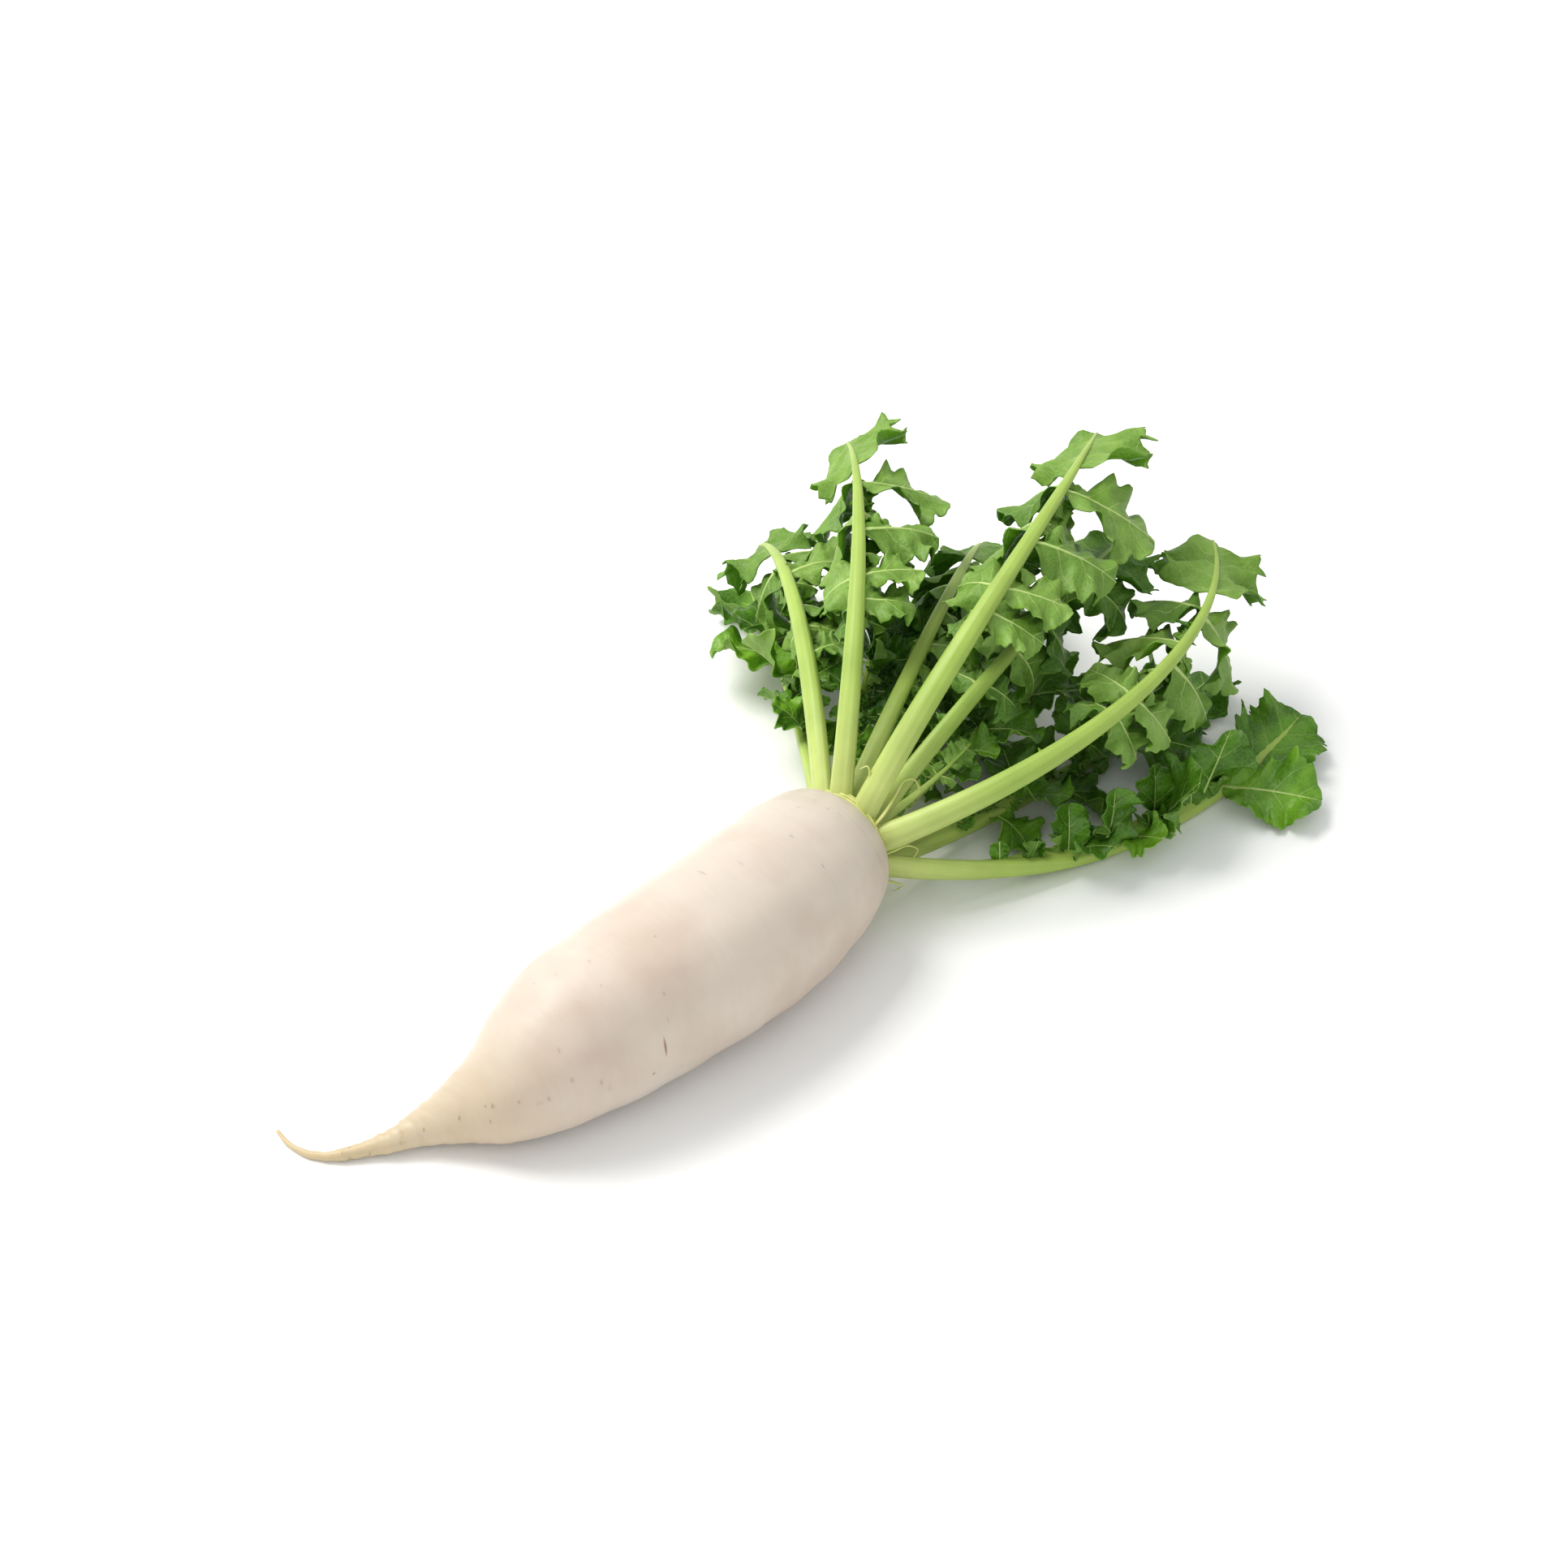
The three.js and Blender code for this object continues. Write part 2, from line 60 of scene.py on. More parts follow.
# A draw's wave: its pace for each seed, its pace for each index, and its height. Any large height does.
SEED_PACE, INDEX_PACE, WAVE_HEIGHT = 12.9898, 78.233, 43758.5453


def draw(seed, index):
    """A number from 0 to 1: the fraction left of a large sine. The index only tells draws apart."""
    wave = np.sin(seed * SEED_PACE + np.asarray(index) * INDEX_PACE) * WAVE_HEIGHT
    return wave - np.floor(wave)


def between(low, high, share):
    """The value that lies the given share of the way from low to high."""
    return low + (high - low) * share


def smoothstep(low, high, value):
    """0 below low, 1 above high, and 3t^2 - 2t^3 between them."""
    t = np.clip((value - low) / (high - low), 0, 1)
    return t * t * (3 - 2 * t)


def unevenness(points, size, seed, waves=14):
    """About -1 to 1: the sum of plane waves about size mm long, over the root of their number."""
    which = np.arange(waves)
    height = between(-1, 1, draw(seed, which))
    turn = TURN * draw(seed, which + 40)
    level = np.sqrt(1 - height**2)
    ways = np.stack([level * np.cos(turn), level * np.sin(turn), height], axis=-1)
    pace = TURN / (size * between(0.7, 1.5, draw(seed, which + 80)))
    phase = TURN * draw(seed, which + 120)
    return np.sin((points @ ways.T) * pace + phase).sum(axis=-1) / np.sqrt(waves)


print("draw(3, 1) is", round(float(draw(3, 1)), 4))

# %% [markdown]
# A smooth line through a few points is the backbone of every piece. Between two points it
# is the cubic whose slope at each point is half the step between that point's neighbours.

# %% A smooth line through points


def line_through(points, share):
    """Catmull-Rom: p1, p2 and their slopes (p2 - p0) / 2 and (p3 - p1) / 2 make a cubic in t."""
    points = np.asarray(points, float)
    held = np.vstack([2 * points[0] - points[1], points, 2 * points[-1] - points[-2]])
    at = np.clip(share, 0, 1) * (len(points) - 1)
    i = np.minimum(at.astype(int), len(points) - 2)
    t = (at - i)[..., None]
    before, start, end, after = held[i], held[i + 1], held[i + 2], held[i + 3]
    leaving = (end - before) / 2
    arriving = (after - start) / 2
    return (
        (2 * t**3 - 3 * t**2 + 1) * start
        + (t**3 - 2 * t**2 + t) * leaving
        + (3 * t**2 - 2 * t**3) * end
        + (t**3 - t**2) * arriving
    )


def unit(vectors):
    """Each vector divided by its length."""
    return vectors / np.maximum(np.linalg.norm(vectors, axis=-1, keepdims=True), 1e-9)


print("a line through 0, 1 and 4 is halfway at", line_through([(0,), (1,), (4,)], np.array([0.5]))[0, 0])

# %% [markdown]
# ## From arrays to a mesh
# A tube is a grid of points that closes round and has a fan over each end. A leaf is a stack of
# sheets with two faces and a rim. Both end up as one list of points and one of faces, and what the
# materials need to know, such as where a vein runs, goes along as attributes of the points.

# %% Meshes


def tube_faces(rows, sides):
    """Quads of a grid that closes round, and a triangle fan over each end round its middle point."""
    row = np.arange(rows - 1)[:, None] * sides
    side = np.arange(sides)[None, :]
    following = (side + 1) % sides
    quads = np.stack([row + side, row + following, row + sides + following, row + sides + side], -1)
    first = rows * sides
    ring = np.arange(sides)
    onward = (ring + 1) % sides
    start = np.stack([onward, ring, np.full(sides, first)], -1)
    last = (rows - 1) * sides
    end = np.stack([last + ring, last + onward, np.full(sides, first + 1)], -1)
    return quads.reshape(-1, 4), np.vstack([start, end])


def repeated(faces, count, size):
    """The same faces for each of count copies of a shape that has size points."""
    return (faces[None] + np.arange(count)[:, None, None] * size).reshape(-1, faces.shape[-1])


def make_mesh(name, points, quads, triangles=None, **attributes):
    """An object at the origin with its place in its mesh. Points are in mm and go in as metres."""
    mesh = bpy.data.meshes.new(name)
    triangles = np.zeros((0, 3), int) if triangles is None else triangles
    corners = np.concatenate([quads.ravel(), triangles.ravel()]).astype(np.int32)
    sizes = np.concatenate([np.full(len(quads), 4), np.full(len(triangles), 3)])
    mesh.vertices.add(len(points))
    mesh.vertices.foreach_set("co", (np.asarray(points) * MM).astype(np.float32).ravel())
    mesh.loops.add(len(corners))
    mesh.loops.foreach_set("vertex_index", corners)
    mesh.polygons.add(len(sizes))
    starts = np.concatenate([[0], np.cumsum(sizes)[:-1]])
    mesh.polygons.foreach_set("loop_start", starts.astype(np.int32))
    mesh.update(calc_edges=True)
    mesh.polygons.foreach_set("use_smooth", np.ones(len(sizes), bool))
    for title, values in attributes.items():
        layer = mesh.attributes.new(title, "FLOAT", "POINT")
        layer.data.foreach_set("value", np.asarray(values, np.float32).ravel())
    assert not mesh.validate(), name
    piece = bpy.data.objects.new(name, mesh)
    bpy.context.scene.collection.objects.link(piece)
    return piece


def enclosed(mesh):
    """Cubic cm inside: a . (b x c) / 6 summed over triangles, above zero where the faces point out."""
    mesh.calc_loop_triangles()
    corners = np.empty(len(mesh.loop_triangles) * 3, np.int32)
    mesh.loop_triangles.foreach_get("vertices", corners)
    spots = np.empty(len(mesh.vertices) * 3, np.float32)
    mesh.vertices.foreach_get("co", spots)
    a, b, c = (spots.reshape(-1, 3).astype(float) * 100)[corners.reshape(-1, 3)].transpose(1, 0, 2)
    return (a * np.cross(b, c)).sum() / 6


def place(piece, slot, material, *nodes):
    """Gives a piece its material, and lets it stand for CAD nodes. The slot is not used."""
    piece.data.materials.append(material)
    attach(piece, "root")
    if nodes:
        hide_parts(*nodes)
    triangles = sum(len(p.vertices) - 2 for p in piece.data.polygons)
    volume = enclosed(piece.data)
    assert volume > 0, piece.name
    print(f"{piece.name}: {triangles} triangles, {volume:.2f} cubic cm")
    return triangles


print("a tube of 3 rings of 4 points has", len(tube_faces(3, 4)[0]), "quads")

# %% [markdown]
# ## Small tools for materials
# Colours are written as they look on a screen and turned to linear light by one function. One more
# function adds a node, sets it and links it.

# %% Colours and nodes


def linear(colour):
    """A screen colour such as #A9C272 as linear RGBA: ((c + 0.055) / 1.055) ^ 2.4, or c / 12.92 if dark."""
    shown = np.array([int(colour[i : i + 2], 16) / 255 for i in (1, 3, 5)])
    light = np.where(shown <= 0.04045, shown / 12.92, ((shown + 0.055) / 1.055) ** 2.4)
    return (*light.tolist(), 1.0)


def new_material(name):
    """A material, its node tree and its shader."""
    material = bpy.data.materials.new(name)
    material.use_nodes = True
    return material, material.node_tree, material.node_tree.nodes["Principled BSDF"]


def add(tree, kind, inputs=None, **settings):
    """Adds a node. Settings are its properties. Inputs, by name or number, are values or sockets."""
    made = tree.nodes.new("ShaderNode" + kind)
    for key, value in settings.items():
        setattr(made, key, value)
    for key, value in (inputs or {}).items():
        if isinstance(value, bpy.types.NodeSocket):
            tree.links.new(value, made.inputs[key])
        else:
            made.inputs[key].default_value = value
    return made.outputs


def feed(tree, shader, **inputs):
    """Links sockets to, or sets values on, the shader's inputs. Underscores stand for spaces."""
    for key, value in inputs.items():
        socket = shader.inputs[key.replace("_", " ")]
        if isinstance(value, bpy.types.NodeSocket):
            tree.links.new(value, socket)
        else:
            socket.default_value = value


def per_metre(size):
    """How many features of this size in mm fit in a metre: the scale of a pattern on Object metres."""
    return 1 / (size * MM)


print("the green #A9C272 in linear light:", np.round(linear("#A9C272"), 3))
print("a pattern with features of 2 mm has the scale", per_metre(2))

# %% [markdown]
# ## Skin of the root
# Daikon skin is thin and moist, over crisp white flesh that lets light in a little way. That takes
# subsurface scattering with a warm tint, a soft gloss, and hardly any pattern: faint pinkish and
# yellowish patches, a yellower tail, and fine streaks that run round the root. The patterns could be
# painted on an image. Noise on Object coordinates needs none, has no seam, and keeps its size in mm.

# %% Root skin
# Sizes of the patterns' features, in mm. Real skin is grained more finely than 1 mm. It is drawn as
# coarse as it needs to be to show.
SKIN_PATCH = 45.45
SKIN_STAIN = 10.526
SKIN_GRAIN = 1.1111
SKIN_STREAK = (1.9231, 14.286, 14.286)
WET_FLESH_IOR = 1.4


def root_skin():
    """Fresh daikon skin, as grown and washed: moist, ivory, and yellower towards the tail."""
    material, tree, shader = new_material("daikon_skin")
    where = add(tree, "TexCoord")["Object"]
    split = add(tree, "SeparateXYZ", {0: where})
    patches = add(tree, "TexNoise", {"Vector": where, "Scale": per_metre(SKIN_PATCH), "Detail": 3.0})["Fac"]
    patchy = add(tree, "MapRange", {0: patches, 1: 0.4, 2: 0.65})[0]
    clean = add(tree, "Mix", {0: patchy, 6: linear("#CEC3B6"), 7: linear("#C5B5A6")}, data_type="RGBA")[2]
    tailward = add(tree, "MapRange", {0: split["X"], 1: -0.085, 2: -0.15})[0]
    yellowed = add(tree, "Mix", {0: tailward, 6: clean, 7: linear("#C1B191")}, data_type="RGBA")[2]
    blotches = {"Vector": where, "Scale": per_metre(SKIN_STAIN), "Detail": 4.0, "Roughness": 0.6}
    stains = add(tree, "TexNoise", blotches)["Fac"]
    low = add(tree, "MapRange", {0: tailward, 3: 0.8, 4: 0.62})[0]
    high = add(tree, "Math", {0: low, 1: 0.09}, operation="ADD")[0]
    stained = add(tree, "MapRange", {0: stains, 1: low, 2: high, 4: 0.42})[0]
    spotted = add(tree, "Mix", {0: stained, 6: yellowed, 7: linear("#A98A60")}, data_type="RGBA")[2]
    scar = add(tree, "Attribute", attribute_name="scar")["Fac"]
    marked = add(tree, "Mix", {0: scar, 6: spotted, 7: linear("#7F5328")}, data_type="RGBA")[2]
    stretched = add(tree, "Mapping", {0: where, 3: [per_metre(size) for size in SKIN_STREAK]})[0]
    streaks = add(tree, "TexNoise", {"Vector": stretched, "Scale": 1.0, "Detail": 4.0})["Fac"]
    streaked = add(tree, "MapRange", {0: streaks, 1: 0.3, 2: 0.7, 3: 0.985, 4: 1.01})[0]
    colour = add(tree, "VectorMath", {0: marked, 1: streaked}, operation="MULTIPLY")[0]
    grain = add(tree, "TexNoise", {"Vector": where, "Scale": per_metre(SKIN_GRAIN), "Detail": 2.0})["Fac"]
    relief = add(tree, "Math", {0: streaks, 1: 3.0, 2: grain}, operation="MULTIPLY_ADD")[0]
    bump = add(tree, "Bump", {"Height": relief, "Strength": 0.12, "Distance": 0.0002})["Normal"]
    gloss = add(tree, "MapRange", {0: patches, 1: 0.3, 2: 0.7, 3: 0.36, 4: 0.48})[0]
    thin = add(tree, "Attribute", attribute_name="thin")["Fac"]
    let_in = add(tree, "MapRange", {0: thin, 3: 0.35, 4: 0.0})[0]
    feed(tree, shader, Base_Color=colour, Roughness=gloss, Normal=bump, Subsurface_Weight=let_in)
    feed(tree, shader, Subsurface_Radius=(1.0, 0.7, 0.45), Subsurface_Scale=0.004, IOR=WET_FLESH_IOR)
    return material


skin = root_skin()
print("material:", skin.name)

# %% [markdown]
# ## The root
# Its middle line and thickness were fitted to the photographed outline: it keeps nearly the same
# girth from the shoulder on, then draws in fast to a tail that lies on the table and turns aside. The
# grid runs along and round that line. Flesh is never quite round, so the radius varies a little, and
# low creases and dimples run round it. A sculpted mesh could look like this too, but on the grid every
# form is a number that can be changed, and the scars can be laid on the same surface by its formula.

# %% Root shape
ROOT_HEIGHT = 35.4
ROOT_RADIUS = 36
SHOULDER = np.array([86.5, 11.5, 31.5])
SHOULDER_RADIUS = 18
ROOT_UNEVEN = 0.012
# The radius has two soft lobes that turn by a radian in 31 mm, and three lower ones the other way.
TWO_LOBES_PACE = 31
THREE_LOBES = 0.7
THREE_LOBES_PACE = 17
THIN_TO_THICK = (3, 30)
# Relief, in mm: its size along the root, its depth on the tail and on the body, how much slower it
# changes round the root (1 is as fast as along it), and the seed of its waves.
Relief = namedtuple("Relief", "size tail body squash seed")
RELIEFS = {
    "crease": Relief(7.0, 0.12, 0.035, 0.16, 5),
    "dimple": Relief(26.0, 0.1, 0.35, 1, 9),
    "wrinkle": Relief(3.2, 0.22, 0.02, 0.3, 15),
}
ROOT_ROWS = 380
ROOT_SIDES = 200
ROOT_LINE = [
    (-160, 70.5, 1, 0.7),
    (-161, 58.5, 1.2, 0.9),
    (-156, 46.5, 2, 1.6),
    (-141, 35.5, 4.4, 3.6),
    (-126, 28, 8.4, 7),
    (-112, 20, 14.8, 13.2),
    (-100, 13.3, 22.2, 20.8),
    (-86, 8.5, 28.8, 27.4),
    (-70, 5, 32.4, 31.2),
    (-42, 1.5, 34.6, 33.8),
    (0, 0, ROOT_HEIGHT, ROOT_RADIUS),
    (30, 1.5, 35.4, 35.6),
    (54, 5, 35, 33.8),
    (69, 8.5, 33.8, 31),
    (80, 10.5, 32.6, 26),
    (*SHOULDER, SHOULDER_RADIUS),
]


def root_frame(share):
    """Place, thickness, and up x ahead, the level sideways direction, of the root's line."""
    here = line_through(ROOT_LINE, share)
    ahead = line_through(ROOT_LINE, share + 1e-4) - line_through(ROOT_LINE, share - 1e-4)
    level = unit(ahead[..., :3] * [1, 1, 0])
    return here[..., :3], here[..., 3], np.cross(UP, level)


def root_point(share, angle):
    """Middle + radius (side sin a - up cos a), the radius with 2 and 3 soft lobes and low relief."""
    middle, thickness, side = root_frame(share)
    run = middle[..., 0]
    lobes = np.sin(2 * angle + run / TWO_LOBES_PACE)
    lobes = lobes + THREE_LOBES * np.sin(3 * angle - run / THREE_LOBES_PACE)
    around = side * np.sin(angle)[..., None] - UP * np.cos(angle)[..., None]
    plain = middle + around * (thickness * (1 + ROOT_UNEVEN * lobes))[..., None]
    thick = smoothstep(*THIN_TO_THICK, thickness)
    raised = [
        unevenness(plain * [1, kind.squash, kind.squash], kind.size, kind.seed)
        * between(kind.tail, kind.body, thick)
        for kind in RELIEFS.values()
    ]
    moved = plain + around * sum(raised)[..., None]
    moved[..., 2] = np.maximum(moved[..., 2], 0.0)
    return moved


def make_root():
    """The root's points over a grid of share and angle, closed by a fan at the shoulder and the tail."""
    share = np.linspace(0, 1, ROOT_ROWS)
    angle = np.linspace(0, TURN, ROOT_SIDES, endpoint=False)
    grid = root_point(*np.meshgrid(share, angle, indexing="ij"))
    tips = np.stack([grid[0].mean(axis=0), grid[-1].mean(axis=0)])
    quads, fans = tube_faces(ROOT_ROWS, ROOT_SIDES)
    return make_mesh("root_skin", np.vstack([grid.reshape(-1, 3), tips]), quads, fans)


total = place(make_root(), "root_skin", skin, "root")

# %% [markdown]
# The skin has breathing pores and small scars, short brown lines that run round the root. The darkest
# is 10 mm long. Spots in the skin's noise would fall where the noise puts them. So each is a very low
# lens, laid where it belongs, that fades into the skin at its rim. The first twelve are where the
# photograph shows them, and fainter ones are scattered over the rest.

# %% Scars and pores
SCARS = np.array(
    [
        # share along the root, degrees round it, length round it and width in mm, darkness
        (0.585, 258.7, 10.5, 1.1, 0.8),
        (0.574, 276.0, 1.9, 1.5, 0.5),
        (0.381, 240.5, 2.4, 1.2, 0.45),
        (0.4135, 247.5, 2.0, 1.1, 0.35),
        (0.371, 237.0, 1.8, 1.0, 0.35),
        (0.326, 239.0, 3.0, 1.2, 0.45),
        (0.272, 233.0, 2.2, 1.1, 0.45),
        (0.451, 257.0, 2.8, 1.2, 0.35),
        (0.486, 249.5, 3.2, 1.4, 0.3),
        (0.5205, 261.5, 3.4, 1.5, 0.3),
        (0.6685, 172.0, 5.0, 1.2, 0.3),
        (0.757, 190.5, 2.4, 1.0, 0.35),
    ]
)
PORES = 72
PORE_SPAN = (0.14, 0.93)
PORE_LENGTH = (1.4, 4.2)
PORE_WIDTH = (0.6, 1.0)
PORE_DARKNESS = (0.12, 0.4)
SHARE_STEP = 0.005
SCAR_SIDES = 20
# Rings of a scar from its middle to its rim, as shares of its half width, and how high each lies.
SCAR_RINGS = np.array([0.08, 0.25, 0.45, 0.65, 0.82, 0.94, 1.0, 0.9])
SCAR_HEIGHTS = np.array([0.07, 0.068, 0.06, 0.045, 0.026, 0.009, -0.02, -0.15])


def scattered_pores():
    """Faint pores, closer together towards the tail."""
    which = np.arange(PORES)
    share = between(*PORE_SPAN, draw(61, which) ** 1.3)
    angle = 360 * draw(62, which)
    length = between(*PORE_LENGTH, draw(63, which) ** 2)
    width = between(*PORE_WIDTH, draw(64, which))
    dark = between(*PORE_DARKNESS, draw(65, which))
    return np.stack([share, angle, length, width, dark], -1)


def make_scars():
    """Root point at share + r cos b width / run and angle + r sin b length / girth, raised a little."""
    share, angle, length, width, dark = np.vstack([SCARS, scattered_pores()]).T[..., None, None]
    _, thickness, _ = root_frame(share)
    step = root_frame(share + SHARE_STEP)[0] - root_frame(share - SHARE_STEP)[0]
    run = np.linalg.norm(step, axis=-1) / (2 * SHARE_STEP)
    reach = SCAR_RINGS[None, :, None]
    turn = np.linspace(0, TURN, SCAR_SIDES, endpoint=False)[None, None, :]
    beside = share + reach * np.cos(turn) * width / 2 / run
    length = np.minimum(length, thickness)
    around = np.radians(angle) + reach * np.sin(turn) * length / 2 / np.maximum(thickness, 1)
    surface = root_point(beside, around)
    middle, _, side = root_frame(beside)
    out = side * np.sin(around)[..., None] - UP * np.cos(around)[..., None]
    grid = surface + out * SCAR_HEIGHTS[None, :, None, None]
    tips = grid[:, [0, -1]].mean(axis=2)
    count = len(grid)
    points = np.concatenate([grid.reshape(count, -1, 3), tips], axis=1)
    fade = (1 - reach**2) * dark + 0 * turn
    ends = np.concatenate([dark[:, 0], 0 * dark[:, 0]], axis=1)
    scar = np.concatenate([fade.reshape(count, -1), ends], axis=1)
    quads, fans = tube_faces(len(SCAR_RINGS), SCAR_SIDES)
    size = points.shape[1]
    return make_mesh(
        "root_scars",
        points.reshape(-1, 3),
        repeated(quads, count, size),
        repeated(fans, count, size),
        scar=scar,
        thin=np.ones(scar.size),
    )


total += place(make_scars(), "root_skin", skin)

# %% [markdown]
# ## Stalk and crown flesh
# A leaf stalk is fleshy and juicy: pale green, paler at its foot, with fine lines along it where its
# fibres run. The same flesh, yellower and drier, makes the crown. Streaks along a bent stalk can't be
# drawn in the room's own directions, so the mesh carries two attributes, how far along a point is in
# mm and how far round, and the noise is stretched along the first.

# %% Stalk flesh
# Sizes in mm, and how many fibres show for each unit of the attribute that goes round the stalk.
STALK_PATCH = 16.667
FIBRE_LENGTH = 50
FIBRES = 9.0
# How far the pattern of one stalk is from that of another, for their tints that are 1 apart.
FIBRES_APART = 3.0
PALE_FOOT = (55.0, 4.0)


def stalk_flesh():
    """Leaf stalk, as grown: satin, faintly streaked along its fibres, whitish at the foot."""
    material, tree, shader = new_material("stalk_flesh")
    where = add(tree, "TexCoord")["Object"]
    round_it = add(tree, "Attribute", attribute_name="round")["Fac"]
    along = add(tree, "Attribute", attribute_name="along")["Fac"]
    tint = add(tree, "Attribute", attribute_name="tint")["Fac"]
    upper = add(tree, "Mix", {0: tint, 6: linear("#A6BC62"), 7: linear("#94AE55")}, data_type="RGBA")[2]
    foot = add(tree, "MapRange", {0: along, 1: PALE_FOOT[0], 2: PALE_FOOT[1]})[0]
    pale = add(tree, "Mix", {0: foot, 6: upper, 7: linear("#BFCA7E")}, data_type="RGBA")[2]
    line = add(tree, "CombineXYZ", {0: round_it, 1: along, 2: tint})[0]
    fibres = add(tree, "Mapping", {0: line, 3: (FIBRES, 1 / FIBRE_LENGTH, FIBRES_APART)})[0]
    streaks = add(tree, "TexNoise", {"Vector": fibres, "Scale": 1.0, "Detail": 4.0})["Fac"]
    light = add(tree, "MapRange", {0: streaks, 1: 0.3, 2: 0.7, 3: 0.93, 4: 1.04})[0]
    patches = add(tree, "TexNoise", {"Vector": where, "Scale": per_metre(STALK_PATCH), "Detail": 3.0})["Fac"]
    soft = add(tree, "MapRange", {0: patches, 1: 0.3, 2: 0.7, 3: 0.92, 4: 1.06})[0]
    both = add(tree, "Math", {0: light, 1: soft}, operation="MULTIPLY")[0]
    colour = add(tree, "VectorMath", {0: pale, 1: both}, operation="MULTIPLY")[0]
    bump = add(tree, "Bump", {"Height": streaks, "Strength": 0.22, "Distance": 0.0003})["Normal"]
    feed(tree, shader, Base_Color=colour, Normal=bump, Roughness=0.42, IOR=WET_FLESH_IOR)
    feed(tree, shader, Subsurface_Weight=0.25, Subsurface_Radius=(0.6, 1.0, 0.3), Subsurface_Scale=0.002)
    return material


stalk_material = stalk_flesh()
print("material:", stalk_material.name)

# %% Crown flesh
CROWN_PATCH = 6.25


def crown_flesh():
    """The short stem, where old leaves broke off: greenish yellow, darker and browner the deeper its grooves
    sink.
    """
    material, tree, shader = new_material("crown_flesh")
    where = add(tree, "TexCoord")["Object"]
    hollow = add(tree, "Attribute", attribute_name="hollow")["Fac"]
    patches = add(tree, "TexNoise", {"Vector": where, "Scale": per_metre(CROWN_PATCH), "Detail": 4.0})["Fac"]
    mixed = add(tree, "MapRange", {0: patches, 1: 0.35, 2: 0.65})[0]
    green = add(tree, "Mix", {0: mixed, 6: linear("#B9C56B"), 7: linear("#CFCF90")}, data_type="RGBA")[2]
    # Darker and browner by the depth of each groove, read from the relief alone.
    colour = add(tree, "Mix", {0: hollow, 6: green, 7: linear("#8A7A3C")}, data_type="RGBA")[2]
    bump = add(tree, "Bump", {"Height": patches, "Strength": 0.4, "Distance": 0.0005})["Normal"]
    feed(tree, shader, Base_Color=colour, Normal=bump, Roughness=0.55, IOR=WET_FLESH_IOR)
    feed(tree, shader, Subsurface_Weight=0.2, Subsurface_Radius=(0.8, 1.0, 0.3), Subsurface_Scale=0.002)
    return material


crown_material = crown_flesh()
print("material:", crown_material.name)

# %% [markdown]
# ## The crown
# The stem of a radish is squeezed into a low dome. Each leaf that fell left a ridge across it. Rings
# modelled one by one would be too even. So a profile is turned about the crown's axis, and the ridges
# are a wave along its height that wavers as it goes round.

# %% Crown shape
CROWN_BASE = SHOULDER + [0.3, 0, 0]
CROWN_RADIUS = 20
CROWN_HEIGHT = 12
CROWN_PROFILE = [
    (0.0, 0.0),
    (0.9, 0.0),
    (1.0, 0.16),
    (0.96, 0.34),
    (0.84, 0.42),
    (0.82, 0.58),
    (0.62, 0.7),
    (0.58, 0.82),
    (0.34, 0.94),
    (0.0, 1.0),
]
RIDGE_SPACING = 1.9
RIDGE_DEPTH = 0.35
CROWN_UNEVEN = 0.3
CROWN_LUMP = 5.0
# The relief fades out towards the base and the axis, over these heights and radii in mm.
RELIEF_FROM_BASE = 3
RELIEF_FROM_AXIS = 2
# The relief in mm at which a groove's brown starts, and at which it is full.
BROWN_IN_GROOVES = (0.1, -0.5)
CROWN_ROWS = 90
CROWN_SIDES = 160


def make_crown():
    """Base + axis height + radius (side cos a + up sin a): a profile turned, with wavering ridges."""
    share, angle = np.meshgrid(
        np.linspace(0, 1, CROWN_ROWS), np.linspace(0, TURN, CROWN_SIDES, endpoint=False), indexing="ij"
    )
    profile = line_through(CROWN_PROFILE, share)
    out = profile[..., 0] * CROWN_RADIUS
    height = profile[..., 1] * CROWN_HEIGHT
    ring = np.stack([height * 0, np.cos(angle), np.sin(angle)], -1)
    points = CROWN_BASE + ring * out[..., None] + np.array([1.0, 0, 0]) * height[..., None]
    wavering = 0.5 * np.sin(angle + 1) + 0.3 * np.sin(3 * angle)
    ridges = np.sin(TURN * (height / RIDGE_SPACING + wavering))
    rough = RIDGE_DEPTH * ridges + CROWN_UNEVEN * unevenness(points, CROWN_LUMP, 21)
    inside = smoothstep(0, RELIEF_FROM_BASE, height) * smoothstep(0, RELIEF_FROM_AXIS, out)
    points = points + ring * (rough * inside)[..., None]
    tips = np.stack([points[0].mean(axis=0), points[-1].mean(axis=0)])
    quads, fans = tube_faces(CROWN_ROWS, CROWN_SIDES)
    hollow = np.append(smoothstep(*BROWN_IN_GROOVES, rough) * inside, [0, 0])
    return make_mesh("crown_flesh", np.vstack([points.reshape(-1, 3), tips]), quads, fans, hollow=hollow)


total += place(make_crown(), "crown", crown_material, "crown")

# %% [markdown]
# Thin yellow-green wisps, what is left of leaves that never grew, curl between the feet of the stalks.
# A curve with a round bevel could make them. A tube on the grid is the same work here and gives the
# flat, tapered section.

# %% Wisps
WISPS = [
    [(88, -7.5, 33), (92, -10.5, 35), (97, -12.2, 35.5), (101, -13, 33), (103.5, -13, 29.5), (101, -13, 27)],
    [(88, -2, 44), (94, -3, 49), (101, -2, 53), (108, 0, 55), (113, -1.5, 54), (112, -5, 51), (108, -5, 50)],
    [(88, 10, 48), (92, 8, 54), (96, 7.5, 60), (97, 9.5, 64), (95, 12, 62.5)],
    [(88, 29, 31), (94, 33, 30.5), (99, 35.5, 27), (101.5, 35, 23), (99, 34, 21)],
    [(88, -4, 20), (91, -8, 18), (96, -11, 14.5), (98, -9.5, 11), (95, -8, 9.5)],
]
WISP_ROWS = 60
WISP_AROUND = 10
WISP_RADIUS = 0.85
WISP_TIP = 0.25
